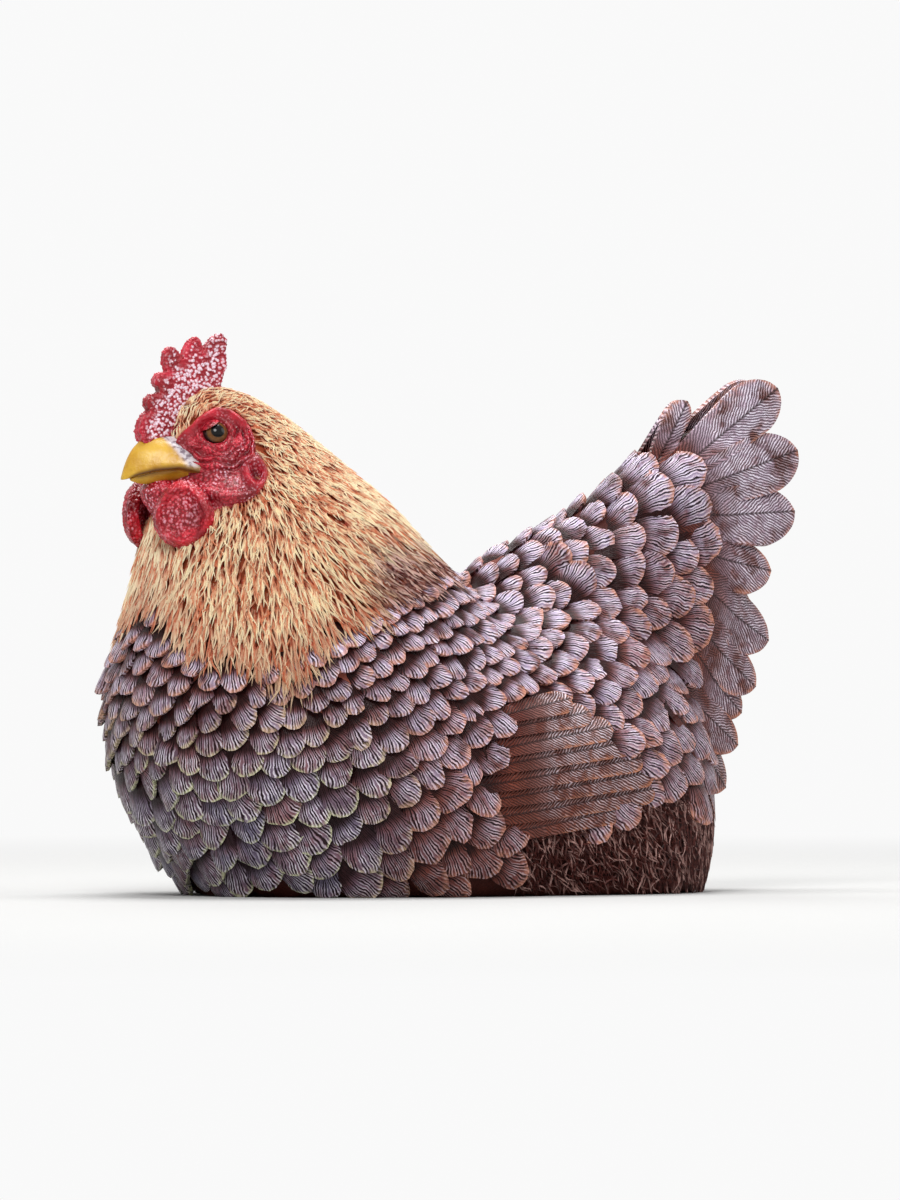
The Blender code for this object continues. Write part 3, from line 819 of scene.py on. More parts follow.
def row_places():
    turns = np.linspace(-180.0, 180.0, 721)[:-1]
    polars = np.linspace(36.0, 172.0, 460)
    points = skin(*np.meshgrid(turns, polars))
    width, exposed = np.moveaxis(size_of(points.reshape(-1, 3)).reshape(*points.shape[:2], 2), -1, 0)
    step = np.linalg.norm(np.diff(points, axis=0), axis=-1)
    count = np.concatenate([np.zeros((1, len(turns))), np.cumsum(step / exposed[1:], axis=0)])
    count = count - [np.interp(cape_edge(t) - 6.0, polars, count[:, i]) for i, t in enumerate(turns)]
    places = []
    for row in range(ROWS):
        first = np.argmax(count >= row, axis=0)
        line = np.where((first > 0)[:, None], points[first, np.arange(len(turns))], np.nan)
        wide = np.where(first > 0, width[first, np.arange(len(turns))], 0.02)
        hop = np.nan_to_num(np.linalg.norm(np.roll(line, -1, 0) - line, axis=-1)) / wide
        hop[hop > 0.6] = 0.0
        along = np.cumsum(hop) + (row % 2) * 0.5
        places.extend(line[np.flatnonzero(np.diff(np.floor(along)) > 0)])
    places = np.array(places)
    places = places[np.isfinite(places).all(1)]
    return places[places[:, 2] > 0.004]


def thinned(places):
    """Each place in turn clears the later ones that are much too near."""
    spread = np.linalg.norm(places[None] - places[:, None], axis=-1) + np.eye(len(places))
    keep = np.ones(len(places), bool)
    for i in range(len(places)):
        if keep[i]:
            near = spread[i] < size_of(places[i : i + 1])[0, 1] * 0.62
            keep[(np.arange(len(places)) > i) & near] = False
    return places[keep]


def spread_evenly(places, rounds=26):
    """Neighbours that are nearer than a feather's width and length push apart along the skin."""
    for _ in range(rounds):
        out = unit(slope(places)[1])
        lie = lie_of(places, out)
        side = np.cross(out, lie)
        size = size_of(places)
        offset = places[None] - places[:, None]
        a = (offset * side[:, None]).sum(-1) / size[:, :1]
        b = (offset * lie[:, None]).sum(-1) / (size[:, 1:] / 0.866)
        c = (offset * out[:, None]).sum(-1) / size[:, :1]
        far = np.sqrt(a * a + b * b + c * c) + np.eye(len(places)) * 9.0
        push = np.clip(1.04 - far, 0.0, 0.6) / far
        move = -(push * a).sum(1)[:, None] * side * size[:, :1]
        move += -(push * b).sum(1)[:, None] * lie * size[:, 1:]
        places = onto_skin(places + 0.28 * move, 2)[0]
    return places


def outline_gap(x, z, path, closed=True):
    """How far each point is from a path on the side view, in millimetres, below 0 inside it."""
    near = np.full(np.shape(x), 1e9)
    inside = np.zeros(np.shape(x), bool)
    for (x0, z0), (x1, z1) in zip(path, path[1:] + path[:1] if closed else path[1:]):
        run = np.array((x1 - x0, z1 - z0))
        share = np.clip(((x - x0) * run[0] + (z - z0) * run[1]) / max(run @ run, 1e-9), 0.0, 1.0)
        near = np.minimum(near, np.hypot(x - x0 - share * run[0], z - z0 - share * run[1]))
        if closed and z0 != z1:
            inside ^= ((z0 > z) != (z1 > z)) & (x < x0 + (z - z0) * (x1 - x0) / (z1 - z0))
    return np.where(inside, -near, near)


def inside_outline(points, outline):
    return outline_gap(points[..., 0] * 1000.0, points[..., 2] * 1000.0, outline) < 0


WING_PANEL = (
    (-27, 86), (14, 88), (26, 84), (38, 77), (48, 70), (56, 62), (62, 52), (17, 38), (-29, 33), (-32, 60),
)
WING_ROOT = ((-20, 88), (-20, 98), (-5, 98), (-5, 88))
FLUFF_PATCH = ((-12, 27), (21, 36), (66, 50), (92, 50), (104, 46), (140, 44), (140, -5), (-12, -5))
# How far back the coverts reach at each height, both in metres.
COVERT_HEIGHTS = (0.08, 0.12, 0.15, 0.175, 0.19, 0.205, 0.23)
COVERT_ENDS = (0.116, 0.120, 0.128, 0.135, 0.134, 0.122, 0.108)

places = row_places()
crowded = len(places)
places = spread_evenly(thinned(places))
turn, polar = turn_polar(places)
_, out = onto_skin(places, 1)
on_panel = inside_outline(places, WING_PANEL) & (np.abs(places[:, 1]) > 0.05)
between_fans = (out[:, 0] > 0.72) & (np.abs(places[:, 1]) < 0.024) & (places[:, 2] < 0.138)
off_tail = (places[:, 0] < np.interp(places[:, 2], COVERT_HEIGHTS, COVERT_ENDS)) | between_fans
feathered = off_tail & ~on_panel & ~inside_outline(places, FLUFF_PATCH)
places = places[feathered & (polar > cape_edge(turn) - 8.0) & (places[:, 2] > 0.003)]
print(crowded, "places in rows,", len(places), "kept after spreading and clearing")

# %% [markdown]
# ## One feather, many feathers
# The pattern feather is a grid of a few quads, drawn to a rounded tip and pulled down into a
# shell, so that its rim is a real step that catches light. An Array modifier repeats it, and
# each copy is then bent onto the skin at its own place, tip raised over the next row.

# %% The pattern feather


def shell_grid(name, across, along):
    """A thin closed slab from -1 to 1, with a grid on top and one face under it."""
    select_only()
    bpy.ops.mesh.primitive_grid_add(x_subdivisions=across, y_subdivisions=along, size=2.0)
    slab = just_added(name)
    edit_all()
    bpy.ops.mesh.extrude_region_move(TRANSFORM_OT_translate={"value": (0.0, 0.0, -1.0)})
    bpy.ops.mesh.dissolve_faces(use_verts=False)
    bpy.ops.object.mode_set(mode="OBJECT")
    facing_out(slab)
    return slab


def repeated(pattern, name, copies):
    """The pattern that many times in one new mesh, copy after copy."""
    piece = pattern.copy()
    piece.data = pattern.data.copy()
    piece.name = name
    piece.data.name = name
    bpy.context.scene.collection.objects.link(piece)
    array = piece.modifiers.new("copies", "ARRAY")
    array.count = copies
    array.use_relative_offset = False
    array.use_constant_offset = True
    array.constant_offset_displace = (0.0, 0.0, 0.01)
    apply_modifiers(piece)
    return piece


def feather_outline(pattern, pointed=0.0):
    """Across and along of every point, drawn to a rounded tip, how near the rim, and if under."""
    a, b, c = points_of(pattern).T
    narrow = 1.0 - 0.42 * np.abs(np.minimum(b, 0.0)) ** 1.4
    across = a * np.where(b > 0, np.sqrt(1.0 - b * b / 2.0), narrow)
    across = across * (1.0 - pointed * np.maximum(b, 0.0) * 0.5)
    along = np.where(b > 0, b * np.sqrt(1.0 - a * a / 2.0), b)
    rim = 1.0 - np.sqrt(across**2 + np.maximum(along, 0.0) ** 2)
    return across, along, np.maximum(rim, 0.0), c < -0.5


def lay_feathers(name, pattern, at, lie, width, length, lift, tone, thick, dome, tilt, sink, wobble):
    """Bends a copy of the pattern onto the skin for every place, root low and tip raised."""
    across, along, rim, under = feather_outline(pattern)
    count = len(at)
    angle = np.arctan2(across, np.maximum(along, 0.0) + 0.25)
    waves = sum(
        luck.normal(0.0, wobble / k, (count, 1))
        * np.sin(k * 1.7 * angle + luck.uniform(0, 6.28, (count, 1)))
        for k in (1, 2, 4)
    )
    waves = waves * (1.0 - rim) ** 2
    cup = luck.normal(0.0, 0.35, (count, 1))
    roll = luck.normal(0.0, wobble * 1.4, (count, 1))
    _, out = onto_skin(at, 1)
    lie = laid_flat(lie, out)
    side = np.cross(lie, out)
    width, length, lift = width[:, None], length[:, None], lift[:, None]
    tip_part = np.minimum(0.62 * width, 0.5 * length)
    root_part = length - tip_part
    v = np.where(along > 0, along * tip_part * (1.0 + waves), along * root_part)
    u = across * width * 0.56 * (1.0 + waves)
    flat = at[:, None] + u[..., None] * side[:, None] + v[..., None] * lie[:, None]
    laid, normal = onto_skin(flat.reshape(-1, 3))
    laid, normal = laid.reshape(flat.shape), normal.reshape(flat.shape)
    share = (v + root_part) / length
    height = -sink + (lift + sink) * share**1.25
    height = height + dome * (1.0 + cup) * width * (1.0 - across**2) * np.minimum(share * 1.6, 1.0)
    height = height + waves * 2.2 * MM + (tilt + roll) * u
    height = height - 0.22 * thick * (rim < 1e-3) - under * thick
    laid = laid + normal * height[..., None]
    laid[..., 2] = np.maximum(laid[..., 2], 0.0)
    piece = repeated(pattern, name, count)
    put_points(piece, laid.reshape(-1, 3))
    write_numbers(piece, "lie", u / MM, (v + root_part) / MM, rim * width * 0.5 / MM)
    # How much painted highlight each point takes: more where the skin faces up and along the middle of the
    # feather, less on the low tail feathers.
    low_tail = smooth_step(at[:, 0], 0.03, 0.08) * smooth_step(0.180 - at[:, 2], 0.0, 0.05)
    up = (normal[..., 2] * 0.9 + 0.42 - 0.25 * np.abs(across)) * (1.0 - 0.50 * low_tail[:, None])
    own = np.maximum(luck.random(count) * 0.93, tone[:, 1])[:, None]
    write_numbers(piece, "tone", own, tone[:, :1], up, length / 0.060)
    return piece


small_feather = shell_grid("pattern_small_feather", 4, 6)
print(len(small_feather.data.polygons), "faces in the pattern feather")


def swung(lie, out, degrees):
    """Each lie turned a little to one side or the other by luck."""
    swing = luck.normal(0.0, math.radians(degrees), len(lie))[:, None]
    return lie * np.cos(swing) + np.cross(out, lie) * np.sin(swing)


# %% Lay the body feathers, region by region
_, out = onto_skin(places, 1)
size = size_of(places)
lie = swung(lie_of(places, out), out, 12.0)
width = size[:, 0] * luck.uniform(0.88, 1.20, len(places))
exposed = size[:, 1] * luck.uniform(0.90, 1.16, len(places))
length = 1.95 * exposed + 0.15 * width
lift = 0.15 * exposed + luck.uniform(-0.6, 1.0, len(places)) * MM
# Coverts at the root of the wing are tucked under its first long feather.
lift = lift - 4.5 * MM * inside_outline(places, WING_ROOT)
forward = smooth_step(-places[:, 0], 0.060, 0.115) * smooth_step(0.118 - places[:, 2], 0.0, 0.06)
turn, polar = turn_polar(places)
seam = bell(np.abs(turn), CREASE_TURN, 6.0) * smooth_step(places[:, 2], 0.035, 0.075)
near_cape = smooth_step(cape_edge(turn) + 5.0 - polar, 0.0, 6.0) * 0.55
rosy = np.maximum(seam, near_cape) * luck.uniform(0.9, 1.0, len(places))
tone = np.stack([forward, rosy], -1)
regions = {
    "breast_feathers": places[:, 0] < -0.075,
    "wing_coverts": (places[:, 0] >= -0.075) & (places[:, 0] < 0.035),
    "saddle_and_tail_coverts": places[:, 0] >= 0.035,
}
for name, chosen in regions.items():
    columns = [column[chosen] for column in (places, lie, width, length, lift, tone)]
    feathers = lay_feathers(
        name, small_feather, *columns, thick=1.8 * MM, dome=0.11, tilt=0.0, sink=3.2 * MM, wobble=0.10
    )
    finish_piece(feathers, feather_paint, 38.0)

# %% [markdown]
# ## Flight feathers
# Under the coverts the closed wing shows its long feathers, one lapped under the other like
# boards. The same recipe lays them, with a longer pattern and a tilt across each feather.

# %% Flight feathers of the closed wing
# Root (x, z) and tip (x, z) on the side view, from the top feather down.
WING_FEATHERS = np.array((
    ((-28, 88), (22, 96)), ((-32, 81), (33, 90)), ((-34, 72), (45, 83)), ((-36, 64), (58, 76)),
    ((-37, 55), (62, 68)), ((-37, 47), (68, 61)), ((-36, 38), (69, 53)), ((-32, 31), (60, 45)),
), float)
FLIGHT_WIDTH = 0.0122
long_feather = shell_grid("pattern_long_feather", 4, 16)
for sign, side in SIDES:
    roots = side_skin(*WING_FEATHERS[:, 0].T, sign)
    tips = side_skin(*WING_FEATHERS[:, 1].T, sign)
    count = len(roots)
    length = np.linalg.norm(tips - roots, axis=-1) * 1.02
    way = unit(tips - roots)
    feathers = lay_feathers(
        "flight_feathers_" + side, long_feather, tips - way * 0.62 * FLIGHT_WIDTH, way,
        np.full(count, FLIGHT_WIDTH), length, (3.4 - 0.25 * np.arange(count)) * MM, np.zeros((count, 2)),
        thick=2.2 * MM, dome=0.06, tilt=-sign * 0.20, sink=-1.0 * MM, wobble=0.02,
    )
    finish_piece(feathers, flight_paint, 38.0)

# %% [markdown]
# ## Tail feathers
# The tail is a fan of broad feathers, each with a strong shaft, lapping outward from the top
# one. They leave the skin, so they are not pressed onto it: each runs straight from a root in
# the body to its own tip, hollowed across like a real feather and turned to face the side.

# %% Tail feathers
# Root (x, z) on the skin, tip (x, out to the side, z) and width, in millimetres.
TAIL_FEATHERS = (
    ((106, 206), (134, 1, 246), 13), ((112, 204), (181.5, 8, 252.5), 27),
    ((108, 194), (190.5, 12, 221), 30),
    ((108, 186), (187, 15, 190), 30), ((112, 172), (172, 17, 160), 28), ((112, 160), (171, 15, 125), 31),
    ((106, 146), (160, 22, 102), 27), ((108, 130), (152, 22, 89), 24), ((96, 110), (147, 27, 73), 24),
    ((98, 98), (142, 23, 52), 23), ((92, 84), (128, 30, 44), 22), ((84, 96), (121, 42, 58), 20),
)
TAIL_THICK = 3.4 * MM


def tail_fan(name, pattern, sign):
    across, along, rim, under = feather_outline(pattern, 0.12)
    rows, lies, tones = [], [], []
    for root_place, tip_place, wide in TAIL_FEATHERS:
        root = side_skin(*root_place, sign) - (0.0, sign * 0.006, 0.0)
        tip = np.array(tip_place) * (MM, sign * MM, MM)
        width, length = wide * MM, np.linalg.norm(tip - root)
        way = unit(tip - root)
        out = laid_flat(np.array((0.12, sign, 0.30)), way)
        tip_part = 0.60 * width
        v = np.where(along > 0, length - tip_part + along * tip_part, (1.0 + along) * (length - tip_part))
        u = across * width * 0.5 * (0.88 + 0.16 * smooth_step(v / length, 0.1, 0.8))
        height = 0.10 * width * (1.0 - across**2) + 0.9 * MM * bell(across, 0.0, 0.12)
        points = root + u[:, None] * np.cross(way, out) + v[:, None] * way + height[:, None] * out
        # Where the body swells past the feather, the feather is pushed out to lie on it.
        here, rise = slope(points)
        points = points + out * (np.clip(1.5 * MM - here, 0.0, 0.02) / np.maximum(rise @ out, 0.4))[:, None]
        rows.append(points - out * (TAIL_THICK * under)[:, None])
        lies.append((u / MM, v / MM, rim * width * 0.5 / MM))
        # Tail feathers higher up take more painted highlight.
        up = np.interp(tip_place[2], (40, 120, 200, 250), (0.25, 0.45, 0.80, 0.95))
        tones.append(np.ones((4, len(u))) * np.array((luck.random(), 0.0, up, length / 0.060))[:, None])
    piece = repeated(pattern, name, len(TAIL_FEATHERS))
    put_points(piece, np.concatenate(rows))
    write_numbers(piece, "lie", *np.concatenate(lies, -1))
    write_numbers(piece, "tone", *np.concatenate(tones, -1))
    finish_piece(piece, tail_paint, 38.0)


tail_feather = shell_grid("pattern_tail_feather", 8, 16)
for sign, side in SIDES:
    tail_fan("tail_feathers_" + side, tail_feather, sign)

# %% [markdown]
# ## The cape of strands on the neck
# A hen's hackle feathers are narrow and split at the end, and the carver cut them as several
# thousand strands. One strand is a three-sided cylinder cut into lengths. Its copies follow
# their own arrows over the neck, roots low and tips standing off, each with its own colour.

# %% The pattern strand and how it is laid
STRAND_CUTS = 5
ROOT_LIFT = 0.2 * MM


def cut_in_rings(piece, cuts, axis):
    """Loops cut round a bar that runs from -1 to 1 along an axis."""
    for cut in range(1, cuts):
        edit_all()
        bpy.ops.mesh.bisect(plane_co=axis * (2.0 * cut / cuts - 1.0), plane_no=axis)
    facing_out(piece)


def lay_strands(name, pattern, at, lie, length, width, tip_lift, tone, wave):
    form = points_of(pattern)
    level = np.rint((form[:, 2] + 1.0) / 2.0 * STRAND_CUTS).astype(int)
    share = np.linspace(0.0, 1.0, STRAND_CUTS + 1)
    _, out = onto_skin(at, 1)
    lie = laid_flat(lie, out)
    sway = wave[:, :1] * np.sin(share * 5.0 + wave[:, 1:])
    run = (share - 0.5) * length[:, None]
    line = at[:, None] + lie[:, None] * run[..., None] + np.cross(lie, out)[:, None] * sway[..., None]
    laid, normal = onto_skin(line.reshape(-1, 3), 2)
    laid, normal = laid.reshape(line.shape), normal.reshape(line.shape)
    height = ROOT_LIFT + (tip_lift[:, None] - ROOT_LIFT) * share**1.3
    centre = laid + normal * height[..., None]
    run = unit(np.gradient(centre, axis=1))
    across = unit(np.cross(run, normal))
    up = np.cross(across, run) * 0.9
    taper = (0.62 + 1.5 * share * (1.0 - share)) * (1.0 - 0.92 * share**3.0)
    thick = (width[:, None] * 0.5 * taper)[:, level, None]
    corners = centre[:, level] + thick * (across[:, level] * form[:, :1] + up[:, level] * form[:, 1:2])
    corners[..., 2] = np.maximum(corners[..., 2], 0.0)
    piece = repeated(pattern, name, len(at))
    put_points(piece, corners.reshape(-1, 3))
    on_points = np.zeros((len(at), len(form)))
    write_numbers(piece, "lie", 0.0, on_points + share[level], 0.0)
    write_numbers(piece, "tone", *(on_points + number[:, None] for number in tone.T), 1.0)
    return piece


def scattered(count, weight, polar_range, turn_range=(-180.0, 180.0)):
    """Random places on the skin, as dense as the weight of each place asks."""
    turns = np.linspace(*turn_range, 360, endpoint=False)
    polars = np.linspace(*polar_range, 300)
    t, p = np.meshgrid(turns, polars)
    points = skin(t, p)
    across = np.linalg.norm(np.roll(points, -1, 1) - points, axis=-1)
    down = np.linalg.norm(np.gradient(points, axis=0), axis=-1)
    odds = (across * down * weight(points, t, p)).ravel()
    chosen = luck.choice(len(odds), count, p=odds / odds.sum())
    t = t.ravel()[chosen] + luck.uniform(-0.5, 0.5, count) * (turns[1] - turns[0])
    p = p.ravel()[chosen] + luck.uniform(-0.5, 0.5, count) * (polars[1] - polars[0])
    return skin(t, p), t, p


select_only()
bpy.ops.mesh.primitive_cylinder_add(vertices=3, radius=1.0, depth=2.0)
strand = just_added("pattern_strand")
cut_in_rings(strand, STRAND_CUTS, Vector((0.0, 0.0, 1.0)))
print(len(strand.data.polygons), "faces in the pattern strand")

# %% [markdown]
# ## Hackle
# The strands run back from the beak over the crown, down the sides of the neck and fan out on
# the breast. They are short on the head and long below, and they leave the face bare.

# %% Hackle strands over neck and head
# x, z in millimetres and the angle that the strands run at there.
HACKLE_ARROWS = np.array((
    (-160, 222, 78), (-153, 234, 60), (-146, 243, 42), (-136, 250, 15), (-124, 247, -15), (-115, 240, -38),
    (-108, 228, -55), (-110, 215, -66), (-113, 200, -72), (-125, 185, -80), (-145, 180, -92),
    (-165, 185, -96), (-170, 160, -92), (-165, 140, -86), (-140, 150, -86), (-140, 120, -84),
    (-115, 150, -74), (-110, 120, -72), (-90, 190, -58), (-80, 160, -60), (-75, 135, -58), (-60, 165, -50),
    (-45, 155, -46), (-35, 150, -42), (-55, 140, -50),
), float)
FACE_OUTLINE = (
    (-157.2, 225.4), (-151.2, 233.6), (-144.6, 240.0), (-138.2, 242.6), (-131.4, 240.0), (-125.6, 236.4),
    (-123.5, 228.7), (-124.6, 221.1), (-121.7, 216.4), (-120.9, 210.5), (-127.0, 201.1), (-134.1, 195.8),
    (-140.5, 193.0), (-146.5, 191.5), (-152.5, 187.0), (-159.0, 184.0), (-166.0, 190.0), (-168.0, 202.0),
    (-163.0, 212.0), (-159.0, 220.0),
)
BEAK_ZONE = ((-190, 190), (-190, 226), (-157, 226), (-152, 212), (-152, 198), (-160, 190))
HACKLE_STRANDS = 7600


def hackle_weight(points, turn, polar):
    bare = inside_outline(points, FACE_OUTLINE) & (np.abs(points[..., 1]) > 0.006)
    bare |= inside_outline(points, BEAK_ZONE)
    edge = cape_edge(turn) - 5.5 + 1.5 * np.sin(np.radians(turn) * 13.0)
    edge = edge + 3.0 * bell(np.abs(turn), CREASE_TURN, 10.0)
    return np.interp(polar, (0, 15, 30, 60), (2.2, 1.7, 1.15, 1.0)) * (polar < edge) * ~bare


def hackle_measure(from_crown, least, most):
    """A measure in millimetres at four polar angles, times the strand's luck."""
    mean = np.interp(polar, (0, 10, 30, 60), from_crown)
    return mean * luck.uniform(least, most, HACKLE_STRANDS) * MM


at, turn, polar = scattered(HACKLE_STRANDS, hackle_weight, (0.2, 62.0))
_, out = onto_skin(at, 1)
lie = swung(laid_flat(arrows_at(HACKLE_ARROWS, at), out), out, 8.0)
near_edge = smooth_step(polar, cape_edge(turn) - 19.0, cape_edge(turn) - 6.0)
length = hackle_measure((5.0, 7.0, 15.0, 22.0), 0.75, 1.25) * (1.0 - 0.12 * near_edge)
width = hackle_measure((0.9, 1.1, 1.45, 1.60), 0.8, 1.2)
tip_lift = hackle_measure((1.0, 1.5, 2.2, 2.6), 0.4, 1.2)
back = smooth_step(at[:, 0], -0.104, -0.066) * smooth_step(0.196 - at[:, 2], 0.0, 0.040)
dark = np.clip(back * 1.5 - luck.uniform(0.0, 0.8, HACKLE_STRANDS), 0.0, 1.0)
own = luck.random(HACKLE_STRANDS)
tone = np.stack([own, dark, near_edge * luck.uniform(0.3, 1.0, HACKLE_STRANDS)], -1)
bend = luck.normal(0.0, 1.0, HACKLE_STRANDS) * MM
wave = np.stack([bend, luck.uniform(0, 6.28, HACKLE_STRANDS)], -1)
for name, chosen in (("hackle_left", turn < 0), ("hackle_right", turn >= 0)):
    columns = [column[chosen] for column in (at, lie, length, width, tip_lift, tone, wave)]
    finish_piece(lay_strands(name, strand, *columns), hackle_paint, 50.0)

# %% [markdown]
# ## Fluff under the tail
# Down has no edges to carve, so it is cut as coarse, dark strands that fall back and down.
# It is the same pattern strand, cut shorter and laid closer to the skin.

# %% Fluff
FLUFF_STRANDS = 3200
FALL = np.array((0.45, 0.0, -1.0))


def fluff_weight(points, turn, polar):
    return inside_outline(points, FLUFF_PATCH) & (points[..., 2] > 0.003)


at, turn, polar = scattered(FLUFF_STRANDS, fluff_weight, (96.0, 166.0), (-130.0, 130.0))
_, out = onto_skin(at, 1)
lie = swung(unit(lie_of(at, out) * 0.5 + laid_flat(FALL, out)), out, 16.0)
tone = np.zeros((FLUFF_STRANDS, 3))
tone[:, 0] = luck.random(FLUFF_STRANDS)
bend = luck.normal(0.0, 1.3, FLUFF_STRANDS) * MM
wave = np.stack([bend, luck.uniform(0, 6.28, FLUFF_STRANDS)], -1)
length, width, tip_lift = (
    luck.uniform(*ends, FLUFF_STRANDS) * MM for ends in ((8.0, 15.0), (0.9, 1.5), (0.8, 1.8))
)
fluff = lay_strands("fluff", strand, at, lie, length, width, tip_lift, tone, wave)
finish_piece(fluff, fluff_paint, 50.0)

# %% [markdown]
# ## Comb
# The comb is a flat blade of flesh with blunt points, beaded all over. Its outline is a filled
# circle whose points are moved to the profile, extruded to thickness, and remeshed into even
# small faces so that the edge can be rounded and the beads pushed out.

# %% Comb
COMB_OUTLINE = (
    (-174.0, 225.2), (-175.8, 230.1), (-174.6, 235.6), (-172.2, 239.0), (-169.4, 240.2), (-171.4, 243.0),
    (-171.2, 246.4), (-168.6, 248.8), (-165.0, 249.2), (-163.6, 250.8), (-166.8, 253.8), (-166.2, 257.8),
    (-163.2, 259.8), (-159.6, 259.6), (-161.6, 263.6), (-161.2, 269.2), (-158.6, 272.4), (-155.4, 272.0),
    (-152.6, 269.0), (-151.4, 264.6), (-149.8, 270.8), (-147.0, 275.4), (-143.6, 277.8), (-141.0, 275.6),
    (-139.4, 269.8), (-137.0, 274.0), (-133.4, 277.8), (-129.4, 279.2), (-126.8, 276.4), (-127.4, 269.0),
    (-127.0, 263.0), (-130.1, 254.4), (-131.0, 247.0), (-141.0, 243.0), (-151.0, 235.0), (-158.0, 227.0),
    (-166.0, 220.0),
)
COMB_HALF = 4.4 * MM


def beaded(piece, push, bead=1.5 * MM):
    texture = bpy.data.textures.new(piece.name + " beads", "VORONOI")
    texture.noise_scale = bead
    displace = piece.modifiers.new("beads", "DISPLACE")
    displace.texture = texture
    displace.texture_coords = "LOCAL"
    displace.strength = -push
    displace.mid_level = 0.35
    apply_modifiers(piece)


select_only()
bpy.ops.mesh.primitive_circle_add(vertices=len(COMB_OUTLINE), radius=0.03, fill_type="NGON")
comb = just_added("comb")
put_points(comb, [(x * MM, -0.5, z * MM) for x, z in COMB_OUTLINE])
edit_all()
bpy.ops.mesh.extrude_region_move(TRANSFORM_OT_translate={"value": (0.0, 1.0, 0.0)})
facing_out(comb)
slab = points_of(comb)
slab[:, 1] = np.sign(slab[:, 1]) * COMB_HALF
put_points(comb, slab)
remesh = comb.modifiers.new("even faces", "REMESH")
remesh.mode = "VOXEL"
remesh.voxel_size = 0.58 * MM
apply_modifiers(comb)
relax = comb.modifiers.new("rounded", "SMOOTH")
relax.iterations = 3
relax.factor = 0.5
apply_modifiers(comb)
blade = points_of(comb)
blade[:, 1] *= 1.0 - 0.45 * np.clip((blade[:, 2] - 0.225 - (blade[:, 0] + 0.165) * 0.75) / 0.04, 0.0, 1.0)
put_points(comb, blade)
from_edge = -outline_gap(blade[:, 0] / MM, blade[:, 2] / MM, COMB_OUTLINE)
back_edge = smooth_step(blade[:, 0], -0.144, -0.132)
# The middle and back of the comb take the most painted highlight, its front edges the least.
highlight_share = np.maximum(smooth_step(from_edge, 1.6, 5.0), back_edge * 0.8)
plain = (1.0 - smooth_step(from_edge, 0.6, 3.0)) * (1.0 - back_edge) * 0.7
write_numbers(comb, "lie", plain, 0.0, highlight_share)
beaded(comb, 1.1 * MM)
finish_piece(comb, comb_red)

# %% [markdown]
# ## Wattles and throat
# A wattle is a thick-rimmed disc that hangs by its narrow top and turns its face out to the
# front and side. An icosphere gives it even faces, and its thickness is drawn from the
# distance to the middle. A bead of throat skin fills the place between the two.

# %% Wattles
# All in metres. The middle is that of the right wattle, and the left one mirrors it.
WATTLE_HALF_WIDE = 0.0158
WATTLE_HALF_THICK = 0.0058
WATTLE_HALF_HIGH = 0.0172
WATTLE_MIDDLE = (-0.1616, 0.0238, 0.1893)
THROAT_RADII = (0.013, 0.0125, 0.012)
THROAT_MIDDLE = (-0.1600, 0.0, 0.1975)


def ball_of_skin(name, detail):
    select_only()
    bpy.ops.mesh.primitive_ico_sphere_add(subdivisions=detail, radius=1.0)
    piece = just_added(name)
    return piece, points_of(piece)


for sign, side in SIDES:
    piece, ball = ball_of_skin("wattle_" + side, 6)
    hang = ball[:, 2]
    from_middle = np.hypot(ball[:, 0], hang)
    rim = bell(from_middle, 0.80, 0.15)
    crease = bell(ball[:, 0] - 0.30 * hang, -0.42, 0.10) * smooth_step(hang, -0.5, 0.2)
    across = ball[:, 0] * WATTLE_HALF_WIDE * (1.0 - 0.14 * hang - 0.10 * hang**2)
    thick = ball[:, 1] * WATTLE_HALF_THICK * (0.36 + 0.90 * rim - 0.34 * crease)
    face_out = unit(np.array((-0.64, sign * 0.76, -0.05)))
    level = unit(np.cross(face_out, (0.0, 0.0, 1.0)))
    turned = np.stack([level, face_out, np.cross(level, face_out)])
    middle = np.array(WATTLE_MIDDLE) * (1.0, sign, 1.0)
    put_points(piece, middle + np.stack([across, thick, hang * WATTLE_HALF_HIGH], -1) @ turned)
    facing_out(piece)
    sunk = smooth_step(0.62 - from_middle, 0.0, 0.3)
    # The rim is smooth skin, and the sunk middle takes painted shade and painted highlights.
    write_numbers(piece, "lie", rim * 0.55, sunk * 0.25, sunk * 0.6)
    beaded(piece, 0.7 * MM)
    finish_piece(piece, wattle_red)

# %% Throat between the wattles
throat, ball = ball_of_skin("throat", 5)
ball[:, :2] *= 1.0 - 0.35 * smooth_step(-ball[:, 2:], -0.4, 1.0)
put_points(throat, ball * THROAT_RADII + THROAT_MIDDLE)
facing_out(throat)
write_numbers(throat, "lie", *np.zeros((3, len(ball))))
beaded(throat, 0.6 * MM)
finish_piece(throat, face_red)

# %% [markdown]
# ## Face and ear lobe
# The bare face is a low pad that follows the skull. A grid is drawn to the outline of the
# face, pressed onto the skin and raised towards its middle, with a heavy brow, folds round
# the eye, a fold along the jaw and the rim of the ear lobe.

# %% Face pads
EYE = np.array((-142.4, 229.4))
BROW = (
    (-158.6, 223.8), (-155.0, 228.2), (-148.2, 235.2), (-140.6, 239.6), (-133.8, 238.0), (-129.4, 232.5),
)
JAW_FOLD = ((-122.5, 203.0), (-127.5, 198.6), (-135.4, 196.6), (-144.0, 196.8), (-149.5, 200.5))
LOBE = np.array((-127.6, 208.4))
FACE_MIDDLE = np.array((-142.0, 213.0))
FACE_GRID = 80


def along_path(x, z, path, thick):
    """1 on a line drawn over the side view, falling to 0 at its sides."""
    return bell(outline_gap(x, z, path, closed=False), 0.0, thick)


